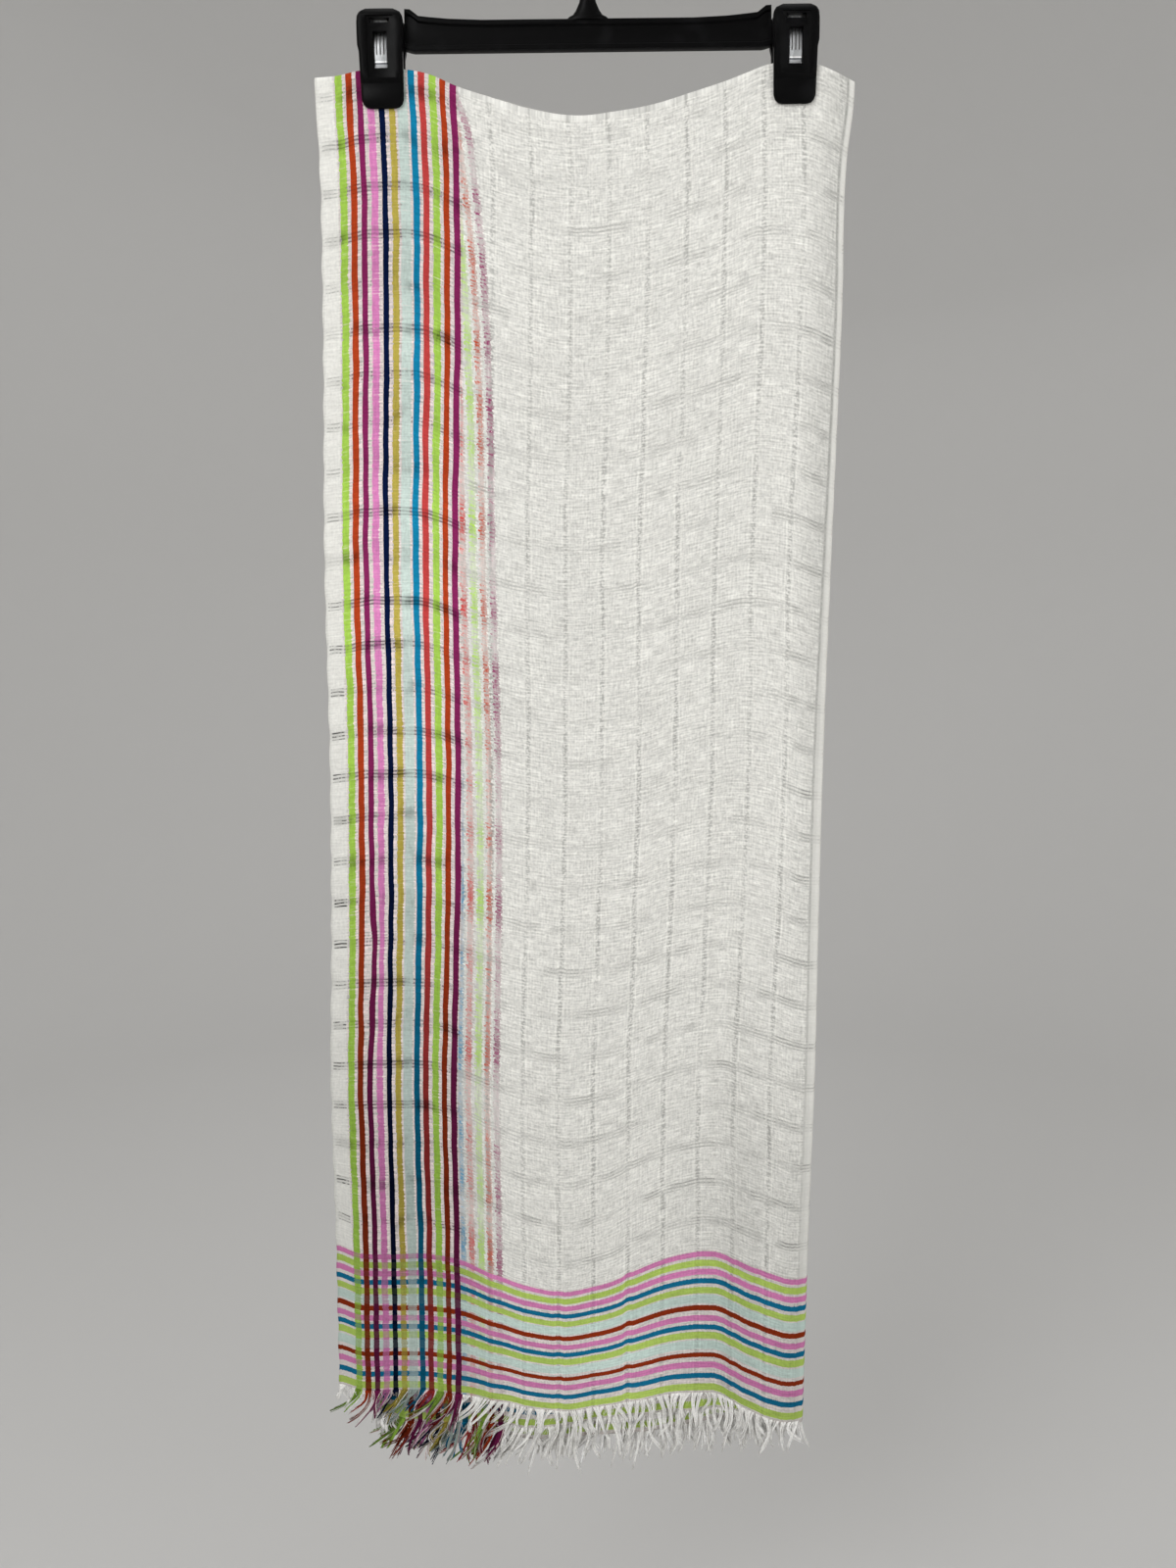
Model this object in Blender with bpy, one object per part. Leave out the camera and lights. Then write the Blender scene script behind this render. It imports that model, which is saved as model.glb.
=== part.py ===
"""A woven scarf, folded in half twice and gripped by the two clips of a plastic hanger.

The origin is the seat of the hook, where a rail holds it. +Z is up, +X is to the viewer's right
and the front faces -Y. Sizes are in millimetres and become metres where a mesh is made.
"""
import math
from collections import namedtuple

import bmesh
import bpy
from mathutils import Vector

MM = 0.001

# Scarf: a cut of 710 x 1880 mm, folded to half its width and half its length
WALL = 1.0
SEAM_GAP = 0.3
FOLD_STEPS = 4
RIDGE_STEPS = 3
FALL_ROWS = 15

# From the middle of one layer to the next: in the clips, where it hangs, and in the sag between
GRIP_PITCH = 1.3
HANG_PITCH = 2.2
SAG_PITCH = 3.2
GRIP_HALF = 17.0
GRIP_FADE = 60.0
GRIP_FOOT = 128.0
HANG_FROM = 230.0
SAG_FROM, SAG_TO = 180.0, 420.0

# Hanger
BAR_TOP = -75.0
BAR_FOOT = -93.5
FLANGE_HALF = 2.7
WEB_HALF = 1.1
FLANGE_HEIGHT = 3.0
ROD = 6.0
HOOK_INNER = 19.0
HOOK_FILLET = 10.0
HOOK_OPENS = 200.0
HOOK_ARC_STEPS = 26
HOOK_FILLET_STEPS = 6
NECK_TOP = BAR_TOP + 20.0

# The bar hangs a little higher at the right, turned about its middle
BAR_TILT = 0.011
BAR_MIDDLE = (BAR_TOP + BAR_FOOT) / 2

# Clips
CLIP_AT = 136.7
JAW_FACE = GRIP_PITCH * 1.5 + WALL / 2 + SEAM_GAP / 2 + SEAM_GAP
WINDOW_HALF = 4.6
WINDOW_TOP = -84.0
WINDOW_FOOT = -106.5
GROOVE_DEPTH = 5.5
GROOVE_TOP = -66.0
CUT_INSIDE, CUT_OUTSIDE = 1.0, 14.0
SLOT_HALF = 6.4
SLOT_TOP, SLOT_FOOT = -75.9, -78.8
PANEL_HALF = 9.0
PANEL_TOP, PANEL_FOOT = -74.6, -111.6
PANEL_DEPTH = 0.8
SPRING_HALF = 4.2
SPRING_THICK = 0.8

# Top edge of the fold from the left corner to the right one, and how far it lies below the hook
Top = namedtuple("Top", "across drop")
TOP_EDGE = [
    Top(-181.5, 110.8), Top(-166.7, 109.5), Top(-153.6, 106.5), Top(-137.0, 105.6), Top(-121.5, 105.5),
    Top(-105.2, 108.6), Top(-88.2, 115.7), Top(-66.0, 122.7), Top(-41.2, 129.7), Top(-20.0, 133.5),
    Top(-2.0, 134.4), Top(18.0, 132.0), Top(45.1, 127.3), Top(71.9, 119.3), Top(93.5, 112.6),
    Top(106.5, 107.7), Top(121.5, 102.2), Top(137.0, 101.0), Top(152.9, 102.0), Top(166.7, 107.1),
    Top(177.5, 112.6),
]

# Outer edges of the folded cloth at several heights: raw selvedge at the left, fold at the right
Edge = namedtuple("Edge", "drop selvedge fold")
EDGES = [
    Edge(100, -181.5, 177.5), Edge(125, -181.0, 177.5), Edge(160, -179.6, 174.0), Edge(260, -180.0, 173.2),
    Edge(420, -183.7, 170.4), Edge(580, -184.0, 168.2), Edge(700, -186.6, 168.0), Edge(800, -190.0, 168.2),
    Edge(930, -189.6, 166.4), Edge(1080, -190.2, 165.6),
]

# Hem of each layer, as the drop below the hook at several places across
Hem = namedtuple("Hem", "across front_outer front_inner back_inner back_outer")
HEMS = [
    Hem(-190, 1052, 1079, 1076, 1070), Hem(-158, 1053, 1080, 1080, 1073), Hem(-99, 1056, 1081, 1088, 1080),
    Hem(-60, 1065, 1083, 1092, 1086), Hem(-25, 1072, 1084, 1094, 1090), Hem(20, 1065, 1079, 1093, 1089),
    Hem(55, 1059, 1074, 1088, 1085), Hem(83, 1056, 1072, 1082, 1079), Hem(107, 1060, 1071, 1078, 1075),
    Hem(128, 1070, 1071, 1074, 1072), Hem(139, 1076, 1072, 1072, 1071), Hem(150, 1078, 1073, 1071, 1070),
    Hem(158, 1076, 1073, 1069, 1069), Hem(166, 1072, 1072, 1068, 1068),
]

# The three layers behind the front one slip to the right on their way down
Slip = namedtuple("Slip", "front_outer front_inner back_inner back_outer")
SLIP = Slip(0.0, 32.0, 30.0, 27.0)
SLIP_ENDS = 395.0

# Soft creases that all four layers share: where each begins and ends, how wide and how deep.
# A crease of negative depth is a ridge towards the viewer.
Crease = namedtuple("Crease", "top_across top_drop foot_across foot_drop half_width depth")
CREASES = [
    Crease(-118, 150, -70, 420, 16, 1.6), Crease(-96, 190, -20, 330, 20, -2.0),
    Crease(112, 150, 60, 360, 18, 1.5), Crease(92, 200, 34, 400, 20, -1.8),
    Crease(-60, 560, -46, 1100, 26, -3.0), Crease(6, 640, 24, 1100, 30, 3.2),
    Crease(96, 520, 107, 1110, 13, 3.6), Crease(128, 430, 118, 1110, 16, -2.6),
    Crease(150, 600, 146, 1110, 12, 2.0), Crease(-150, 300, -156, 1100, 18, 1.8),
    Crease(-112, 620, -108, 1110, 14, -2.2),
]

# Fringe: how many strands hang from each layer's hem
Fringe = namedtuple("Fringe", "name layer strands")
FRINGES = [
    Fringe("fringe_front_outer", "front_outer", 62), Fringe("fringe_front_inner", "front_inner", 48),
    Fringe("fringe_back_inner", "back_inner", 46), Fringe("fringe_back_outer", "back_outer", 44),
]
ROOT_HEIGHT = 2.4
STRAND_WIDE = 1.6
STRAND_TIP = 0.6
STRAND_LONG = 21.0
STRAND_UNEVEN = 6.0

# The strands lean to the left beneath the striped border and hang straight to the right of it
LEAN_LEFT = 12.0
LEAN_FROM, LEAN_TO = -60.0, -20.0
LEAN_UNEVEN = 1.6

LAYERS = ("front_outer", "front_inner", "back_inner", "back_outer")


def between(low, high, value):
    """0 at low, 1 at high, eased at both ends."""
    share = min(1.0, max(0.0, (value - low) / (high - low)))
    return share * share * (3 - 2 * share)


def look_up(rows, key, column, value):
    """The column's value where key is value, in straight steps between the rows."""
    for low, high in zip(rows, rows[1:]):
        start, end = getattr(low, key), getattr(high, key)
        if value <= end or high is rows[-1]:
            share = min(1.0, max(0.0, (value - start) / (end - start)))
            return getattr(low, column) + share * (getattr(high, column) - getattr(low, column))


def slip(layer, drop):
    """How far a layer's selvedge lies to the right of the front one's at this height."""
    return getattr(SLIP, layer) * between(TOP_EDGE[0].drop, SLIP_ENDS, drop)


def pitch(across, drop):
    """From the middle of one layer to the middle of the next: tight in the clips, slack between."""
    sideways = between(GRIP_HALF, GRIP_FADE, abs(abs(across) - CLIP_AT))
    downwards = between(GRIP_FOOT, HANG_FROM, drop)
    sag = sideways * (1 - between(SAG_FROM, SAG_TO, drop))
    loose = max(sideways, downwards)
    return GRIP_PITCH + loose * (HANG_PITCH - GRIP_PITCH) + sag * (SAG_PITCH - HANG_PITCH)


def crease_depth(across, drop):
    """How far the shared creases push the cloth back at this place."""
    push = 0.0
    for crease in CREASES:
        run = crease.foot_drop - crease.top_drop
        along = (drop - crease.top_drop) / run
        if not 0.0 < along < 1.25:
            continue
        middle = crease.top_across + along * (crease.foot_across - crease.top_across)
        off = (across - middle) / crease.half_width
        fade = between(0.0, 0.35, along) * (1 - between(0.85, 1.25, along) * (crease.foot_drop < 900))
        push += crease.depth * fade * math.exp(-off * off)
    return push


def layer_shares():
    """The columns of one layer, as shares of its width from the selvedge to the fold."""
    first, last = TOP_EDGE[0].across, TOP_EDGE[-1].across
    return [(row.across - first) / (last - first) for row in TOP_EDGE]


def folded_section():
    """Places as (share, turn), from the outer selvedge round the fold to the inner selvedge."""
    shares = layer_shares()
    outer = [(share, 0.0) for share in shares]
    turns = [(1.0, step / FOLD_STEPS) for step in range(1, FOLD_STEPS)]
    inner = [(share, 1.0) for share in reversed(shares)]
    return outer + turns + inner


def cloth_point(fall, share, turn, side, down, tilt=0.0):
    """A point of one fall's wall, in millimetres.

    share runs across the layer, turn runs from the outer layer (0) round the fold to the inner
    one (1), side is +1 on the wall's outer face and -1 on its inner face, down runs from the
    ridge to the hem, and tilt is the angle round the ridge.
    """
    outer_layer, inner_layer = (f"{fall}_outer", f"{fall}_inner")
    top_across = TOP_EDGE[0].across + share * (TOP_EDGE[-1].across - TOP_EDGE[0].across)
    top_drop = look_up(TOP_EDGE, "across", "drop", top_across)

    def across_of(layer, drop):
        left = look_up(EDGES, "drop", "selvedge", drop) + slip(layer, drop)
        right = look_up(EDGES, "drop", "fold", drop)
        gap = pitch(right, drop)
        return left + share * (right - gap / 2 - WALL / 2 - left)

    def drop_of(layer):
        foot = look_up(HEMS, "across", layer, across_of(layer, 1060.0))
        return top_drop + down * (foot - top_drop)

    outer_drop, inner_drop = drop_of(outer_layer), drop_of(inner_layer)
    drop = outer_drop + turn * (inner_drop - outer_drop)
    near, far = across_of(outer_layer, drop), across_of(inner_layer, drop)
    across = near + turn * (far - near)
    gap = pitch(across, drop)
    radius = gap / 2 + side * WALL / 2
    angle = math.pi * turn
    across += radius * math.sin(angle)
    stack = gap + radius * math.cos(angle)
    ridge = top_drop + gap * 1.5 + WALL / 2
    facing = -1 if fall == "front" else 1
    depth = facing * (stack * math.cos(tilt) + SEAM_GAP / 2)
    settle = between(0.0, 0.12, down) * crease_depth(across, drop)
    low = max(drop, ridge) - stack * math.sin(tilt)
    return Vector((across, depth + settle, -low))


def closed_sheet(name, rows, material):
    """A closed wall from rows of (outer point, inner point) pairs, in millimetres."""
    build = bmesh.new()
    faces = [[[build.verts.new(point * MM) for point in pair] for pair in row] for row in rows]
    count = len(faces[0])
    for upper, lower in zip(faces, faces[1:]):
        for i in range(count - 1):
            for side in (0, 1):
                build.faces.new((upper[i][side], lower[i][side], lower[i + 1][side], upper[i + 1][side]))
        for i in (0, count - 1):
            build.faces.new((upper[i][0], lower[i][0], lower[i][1], upper[i][1]))
    for row in (faces[0], faces[-1]):
        for i in range(count - 1):
            build.faces.new((row[i][0], row[i + 1][0], row[i + 1][1], row[i][1]))
    return finish_mesh(name, build, material)


def finish_mesh(name, build, material, smooth=True):
    """Turn the mesh's faces outwards and make it a named object."""
    build.normal_update()
    bmesh.ops.recalc_face_normals(build, faces=build.faces)
    mesh = bpy.data.meshes.new(name)
    build.to_mesh(mesh)
    build.free()
    mesh.materials.append(material)
    if smooth:
        mesh.shade_smooth()
        mesh.set_sharp_from_angle(angle=math.radians(35))
    thing = bpy.data.objects.new(name, mesh)
    bpy.context.scene.collection.objects.link(thing)
    return thing


def finish(name, colour, roughness, metallic=0.0):
    """A plain material with the photographed colour."""
    material = bpy.data.materials.new(name)
    material.use_nodes = True
    shader = material.node_tree.nodes["Principled BSDF"]
    shader.inputs["Base Color"].default_value = (*colour, 1.0)
    shader.inputs["Roughness"].default_value = roughness
    shader.inputs["Metallic"].default_value = metallic
    return material


def make_fall(fall, material):
    """One fall of the scarf: two layers joined by the lengthwise fold, from the ridge to the hem."""
    places = folded_section()
    rows = []
    for step in range(RIDGE_STEPS, 0, -1):
        tilt = math.radians(90.0) * step / RIDGE_STEPS
        rows.append([[cloth_point(fall, share, turn, side, 0.0, tilt) for side in (1, -1)]
                     for share, turn in places])
    for step in range(FALL_ROWS + 1):
        down = step / FALL_ROWS
        down = down * (0.55 + 0.45 * down)
        rows.append([[cloth_point(fall, share, turn, side, down) for side in (1, -1)]
                     for share, turn in places])
    return closed_sheet(f"scarf_{fall}_fall", rows, material)


def hem_line(layer):
    """The middle of a layer's hem, point by point from its selvedge to the fold."""
    fall, half = layer.split("_")
    turn = 0.0 if half == "outer" else 1.0
    points = []
    for share in layer_shares():
        outside = cloth_point(fall, share, turn, 1, 1.0)
        inside = cloth_point(fall, share, turn, -1, 1.0)
        points.append((outside + inside) / 2)
    return points


def on_line(points, across):
    """The point of a line, in straight steps, at this place across."""
    for start, end in zip(points, points[1:]):
        if across <= end.x or end is points[-1]:
            return start.lerp(end, (across - start.x) / (end.x - start.x))


def sway(number, layer_number):
    """An uneven but repeatable value from -1 to 1 for each strand."""
    return math.sin(number * 2.399 + layer_number * 1.7) * math.cos(number * 0.813 + layer_number)


def make_fringe(fringe, material):
    """A narrow strip of roots just below a hem, with its strands drawn down from its lower face."""
    layer_number = LAYERS.index(fringe.layer)
    hem = hem_line(fringe.layer)
    left, right = hem[0].x + 1.0, hem[-1].x - 1.0
    cell = (right - left) / fringe.strands
    roots = [left + (number + 0.5) * cell for number in range(fringe.strands)]
    clear = STRAND_WIDE / 2 + 0.4
    joints = [point.x for point in hem[1:-1] if all(abs(point.x - root) > clear for root in roots)]
    starts = [root - STRAND_WIDE / 2 for root in roots]
    edges = sorted([left, right] + joints + starts + [root + STRAND_WIDE / 2 for root in roots])
    half = Vector((0.0, WALL / 2, 0.0))
    build = bmesh.new()
    columns = []
    for across in edges:
        top = on_line(hem, across) - Vector((0, 0, SEAM_GAP))
        foot = top - Vector((0, 0, ROOT_HEIGHT))
        corners = (top - half, top + half, foot + half, foot - half)
        columns.append([build.verts.new(corner * MM) for corner in corners])
    number = 0
    for across, near, far in zip(edges, columns, columns[1:]):
        for i, j in ((0, 1), (1, 2), (3, 0)):
            build.faces.new((near[i], near[j], far[j], far[i]))
        if across in starts:
            draw_strand(build, (near[2], near[3], far[3], far[2]), number, layer_number)
            number += 1
        else:
            build.faces.new((near[2], near[3], far[3], far[2]))
    for end in (columns[0], columns[-1]):
        build.faces.new(end)
    return finish_mesh(fringe.name, build, material)


def draw_strand(build, root, number, layer_number):
    """Draw one strand down from four root corners: a bend half way, then a narrow tip."""
    middle = sum((corner.co for corner in root), Vector()) / len(root) / MM
    uneven = sway(number, layer_number)
    length = STRAND_LONG + STRAND_UNEVEN * uneven
    lean = -LEAN_LEFT * (1 - between(LEAN_FROM, LEAN_TO, middle.x))
    lean += LEAN_UNEVEN * sway(number + 7, layer_number)
    bend = middle + Vector((lean * 0.38 + 0.6 * uneven, 0.0, -length * 0.5))
    tip = middle + Vector((lean, 0.0, -length))
    ring = list(root)
    for centre, wide, thick in ((bend, STRAND_WIDE * 0.75, WALL * 0.7), (tip, STRAND_TIP, STRAND_TIP * 0.6)):
        corners = []
        for corner in root:
            aside = math.copysign(wide / 2, corner.co.x / MM - middle.x)
            ahead = math.copysign(thick / 2, corner.co.y / MM - middle.y)
            corners.append(build.verts.new((centre + Vector((aside, ahead, 0.0))) * MM))
        for i in range(4):
            build.faces.new((ring[i], ring[(i + 1) % 4], corners[(i + 1) % 4], corners[i]))
        ring = corners
    build.faces.new(ring)


# Bar: top and foot of its section at stations from the middle outwards, in millimetres
Station = namedtuple("Station", "across top foot")
BAR_STATIONS = [
    Station(15.0, BAR_TOP, BAR_FOOT), Station(70.0, BAR_TOP, BAR_FOOT),
    Station(92.0, BAR_TOP + 0.9, BAR_FOOT), Station(106.0, BAR_TOP + 2.2, BAR_FOOT),
    Station(112.0, BAR_TOP + 2.9, BAR_FOOT), Station(115.0, BAR_TOP + 5.2, BAR_FOOT),
    Station(117.5, BAR_TOP + 7.0, BAR_FOOT + 0.5), Station(121.0, BAR_TOP + 7.2, BAR_FOOT + 1.5),
    Station(121.2, BAR_TOP - 4.0, BAR_FOOT + 1.5), Station(148.0, BAR_TOP - 4.0, BAR_FOOT + 1.5),
]


def bar_section(station, across):
    """The bar's section: a web with a flange along its top and another along its foot."""
    top, foot = station.top, station.foot
    outline = (
        (-FLANGE_HALF, top), (FLANGE_HALF, top), (FLANGE_HALF, top - FLANGE_HEIGHT),
        (WEB_HALF, top - FLANGE_HEIGHT - 0.8), (WEB_HALF, foot + FLANGE_HEIGHT + 0.8),
        (FLANGE_HALF, foot + FLANGE_HEIGHT), (FLANGE_HALF, foot), (-FLANGE_HALF, foot),
        (-FLANGE_HALF, foot + FLANGE_HEIGHT), (-WEB_HALF, foot + FLANGE_HEIGHT + 0.8),
        (-WEB_HALF, top - FLANGE_HEIGHT - 0.8), (-FLANGE_HALF, top - FLANGE_HEIGHT),
    )
    return [Vector((across, depth, height)) for depth, height in outline]


def loft(build, sections):
    """Bridge closed sections of equal length and cap both ends."""
    rings = [[build.verts.new(point * MM) for point in section] for section in sections]
    count = len(rings[0])
    for near, far in zip(rings, rings[1:]):
        for i in range(count):
            j = (i + 1) % count
            build.faces.new((near[i], near[j], far[j], far[i]))
    for end in (rings[0], rings[-1]):
        build.faces.new(end)


# Neck above the bar: half width and half depth of its oval section at each height
Neck = namedtuple("Neck", "height half_width half_depth")
NECK = [
    Neck(BAR_TOP - 0.6, 13.5, 4.2), Neck(BAR_TOP + 1.6, 13.2, 4.2), Neck(BAR_TOP + 3.0, 10.2, 4.2),
    Neck(BAR_TOP + 6.0, 8.0, 4.4), Neck(BAR_TOP + 11.0, 5.6, 4.5), Neck(BAR_TOP + 16.0, 4.7, 4.6),
    Neck(NECK_TOP, 4.6, 4.6),
]
NECK_SIDES = 16


def make_bar(material):
    """The channelled bar, with the moulded neck joined to the middle of its top flange."""
    stations = [row for row in reversed(BAR_STATIONS)] + BAR_STATIONS
    halves = len(BAR_STATIONS)
    build = bmesh.new()
    loft(build, [bar_section(row, -row.across if number < halves else row.across)
                 for number, row in enumerate(stations)])
    bar = finish_mesh("hanger_bar", build, material)
    build = bmesh.new()
    sections = []
    for row in NECK:
        ring = []
        for step in range(NECK_SIDES):
            angle = 2 * math.pi * step / NECK_SIDES
            across, depth = row.half_width * math.cos(angle), row.half_depth * math.sin(angle)
            ring.append(Vector((across, depth, row.height)))
        sections.append(ring)
    loft(build, sections)
    neck = finish_mesh("neck_form", build, material)
    join_form(bar, neck, "UNION")
    return bar


def join_form(thing, tool, operation):
    """Cut a helper form from a piece, or join it on, and leave the helper out of the build."""
    boolean = thing.modifiers.new(tool.name, "BOOLEAN")
    boolean.operation = operation
    boolean.solver = "EXACT"
    boolean.object = tool
    tool.hide_render = True
    tool.display_type = "WIRE"


def hook_route():
    """The rod's middle line: open end, over the top, down the right side and into the neck."""
    radius = HOOK_INNER + ROD / 2
    centre = -HOOK_INNER
    below = math.sqrt((radius + HOOK_FILLET) ** 2 - HOOK_FILLET ** 2)
    meet = math.atan2(below, HOOK_FILLET)
    route = []
    start, end = math.radians(HOOK_OPENS), -meet
    for step in range(HOOK_ARC_STEPS + 1):
        angle = start + (end - start) * step / HOOK_ARC_STEPS
        route.append(Vector((radius * math.cos(angle), 0.0, centre + radius * math.sin(angle))))
    for step in range(1, HOOK_FILLET_STEPS + 1):
        angle = (math.pi - meet) + meet * step / HOOK_FILLET_STEPS
        route.append(Vector((HOOK_FILLET * (1 + math.cos(angle)), 0.0,
                             centre - below + HOOK_FILLET * math.sin(angle))))
    route.append(Vector((0.0, 0.0, NECK_TOP + SEAM_GAP)))
    return route


def make_hook(material):
    """The hook: a round rod with a rounded open end."""
    curve = bpy.data.curves.new("hanger_hook", "CURVE")
    curve.dimensions = "3D"
    curve.bevel_depth = ROD / 2 * MM
    curve.bevel_resolution = 3
    curve.use_fill_caps = True
    spline = curve.splines.new("POLY")
    route = hook_route()
    away = (route[0] - route[1]).normalized()
    round_end = [(2.8, 0.30), (2.1, 0.72), (1.0, 0.95)]
    points = [(route[0] + away * reach, wide) for reach, wide in round_end]
    points += [(point, 1.0) for point in route]
    spline.points.add(len(points) - 1)
    for target, (point, wide) in zip(spline.points, points):
        target.co = (*(point * MM), 1.0)
        target.radius = wide
    curve.materials.append(material)
    hook = bpy.data.objects.new("hanger_hook", curve)
    bpy.context.scene.collection.objects.link(hook)
    return hook


# Jaw: half width, inner face and outer face at each height, from the squeezing end to the lip
Jaw = namedtuple("Jaw", "height half_width inner outer")
JAW = [
    Jaw(-69.6, 6.5, 5.4, 7.6), Jaw(-70.3, 10.6, 5.1, 8.8), Jaw(-71.8, 13.4, 4.7, 9.5),
    Jaw(-74.2, 14.8, 4.2, 9.7), Jaw(-78.0, 15.2, 3.5, 9.8), Jaw(-84.0, 15.3, 3.0, 9.6),
    Jaw(-91.5, 15.3, 3.0, 9.2), Jaw(-95.5, 14.4, 3.0, 8.8), Jaw(-107.5, 14.2, 3.0, 7.7),
    Jaw(-113.0, 14.1, JAW_FACE, 7.1), Jaw(-114.6, 14.1, JAW_FACE, 6.0), Jaw(-115.8, 14.1, JAW_FACE, 6.5),
    Jaw(-124.0, 13.9, JAW_FACE, 5.7), Jaw(-127.0, 12.9, JAW_FACE, 5.2), Jaw(-128.8, 11.0, JAW_FACE, 4.7),
    Jaw(-129.6, 8.4, JAW_FACE + 0.2, 4.3),
]
JAW_EDGE = 1.6


def make_jaw(name, centre, facing, material):
    """One jaw of a clip, with the window that shows its spring."""
    build = bmesh.new()
    sections = []
    for row in JAW:
        wide, edge = row.half_width, min(JAW_EDGE, (row.outer - row.inner) * 0.6)
        outline = (
            (-wide, row.inner), (wide, row.inner), (wide, row.outer - edge),
            (wide - edge, row.outer), (-wide + edge, row.outer), (-wide, row.outer - edge),
        )
        sections.append([Vector((centre + across, facing * depth, row.height)) for across, depth in outline])
    loft(build, sections)
    jaw = finish_mesh(name, build, material)
    left, right = centre - WINDOW_HALF, centre + WINDOW_HALF
    window = helper_box(f"{name}_window", (left, CUT_INSIDE, WINDOW_FOOT),
                        (right, CUT_OUTSIDE, WINDOW_TOP), facing)
    groove = helper_box(f"{name}_groove", (left, CUT_INSIDE, WINDOW_TOP - 1.0),
                        (right, GROOVE_DEPTH, GROOVE_TOP), facing)
    slot = helper_box(f"{name}_slot", (centre - SLOT_HALF, CUT_INSIDE, SLOT_FOOT),
                      (centre + SLOT_HALF, CUT_OUTSIDE, SLOT_TOP), facing)
    panel = panel_form(f"{name}_panel", centre, facing)
    for tool in (window, groove, slot, panel):
        join_form(jaw, tool, "DIFFERENCE")
    return jaw


def panel_form(name, centre, facing):
    """What the shallow panel round the window takes away from a jaw's outer face."""
    levels = [PANEL_TOP] + [row.height for row in JAW if PANEL_FOOT < row.height < PANEL_TOP] + [PANEL_FOOT]
    build = bmesh.new()
    sections = []
    for level in levels:
        floor = look_up(JAW[::-1], "height", "outer", level) - PANEL_DEPTH
        corners = ((-PANEL_HALF, floor), (PANEL_HALF, floor), (PANEL_HALF, CUT_OUTSIDE), (-PANEL_HALF, CUT_OUTSIDE))
        sections.append([Vector((centre + across, facing * depth, level)) for across, depth in corners])
    loft(build, sections)
    return finish_mesh(name, build, None, smooth=False)


def helper_box(name, low, high, facing):
    """A box between two corners, mirrored to the back where facing is 1."""
    build = bmesh.new()
    bmesh.ops.create_cube(build, size=1.0)
    for vert in build.verts:
        across, depth, height = ((low[i] + high[i]) / 2 + vert.co[i] * (high[i] - low[i]) for i in range(3))
        vert.co = Vector((across, facing * depth, height)) * MM
    return finish_mesh(name, build, None, smooth=False)


# Spring: the middle line of one leg, from the crown over the bar to the foot in the window
Leg = namedtuple("Leg", "depth height")
SPRING_LEG = [
    Leg(0.0, -71.6), Leg(1.9, -72.1), Leg(3.4, -73.4), Leg(4.1, -75.4), Leg(4.1, -84.8), Leg(6.0, -88.2),
    Leg(6.4, -92.0), Leg(6.2, -99.5), Leg(5.2, -103.6), Leg(5.9, -105.6),
]


def make_spring(name, centre, material):
    """A clip's spring: a steel strip bent over the bar, with a leg in each jaw's window."""
    line = [Vector((0.0, -row.depth, row.height)) for row in reversed(SPRING_LEG)]
    line += [Vector((0.0, row.depth, row.height)) for row in SPRING_LEG[1:]]
    sections = []
    for number, point in enumerate(line):
        before, after = line[max(0, number - 1)], line[min(len(line) - 1, number + 1)]
        along = (after - before).normalized()
        outwards = Vector((0.0, -along.z, along.y)) * (SPRING_THICK / 2)
        across = Vector((SPRING_HALF, 0.0, 0.0))
        middle = point + Vector((centre, 0.0, 0.0))
        sections.append([middle - across - outwards, middle + across - outwards,
                         middle + across + outwards, middle - across + outwards])
    build = bmesh.new()
    loft(build, sections)
    return finish_mesh(name, build, material)


def tilt_bar():
    """Turn the bar, its clips and the forms that cut them about the bar's middle."""
    turned = [thing for thing in bpy.data.objects if thing.name.startswith(("clip_", "hanger_bar", "neck_"))]
    middle = bpy.data.objects.new("bar_middle", None)
    middle.location = (0.0, 0.0, BAR_MIDDLE * MM)
    middle.rotation_euler = (0.0, -BAR_TILT, 0.0)
    bpy.context.scene.collection.objects.link(middle)
    for thing in turned:
        thing.parent = middle
        thing.location = (0.0, 0.0, -BAR_MIDDLE * MM)


def main():
    for old in list(bpy.data.objects):
        bpy.data.objects.remove(old, do_unlink=True)
    gauze = finish("gauze", (0.80, 0.78, 0.75), 0.9)
    threads = finish("threads", (0.74, 0.72, 0.70), 0.9)
    plastic = finish("black_plastic", (0.012, 0.012, 0.014), 0.38)
    steel = finish("spring_steel", (0.62, 0.63, 0.65), 0.3, 1.0)
    for fall in ("front", "back"):
        make_fall(fall, gauze)
    for fringe in FRINGES:
        make_fringe(fringe, threads)
    make_bar(plastic)
    make_hook(plastic)
    for side, centre in (("left", -CLIP_AT), ("right", CLIP_AT)):
        make_jaw(f"clip_{side}_front_jaw", centre, -1, plastic)
        make_jaw(f"clip_{side}_back_jaw", centre, 1, plastic)
        make_spring(f"clip_{side}_spring", centre, steel)
    tilt_bar()


main()
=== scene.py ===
"""Looks of a sheer woven scarf, folded in half twice and gripped by a plastic clip hanger.

Sizes in the tables are millimetres and become metres where a mesh is made. +Z is up, the origin
is the seat of the hook and the front faces -Y. A drop is a distance below the origin.
"""
import math
import random
from collections import namedtuple

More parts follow.
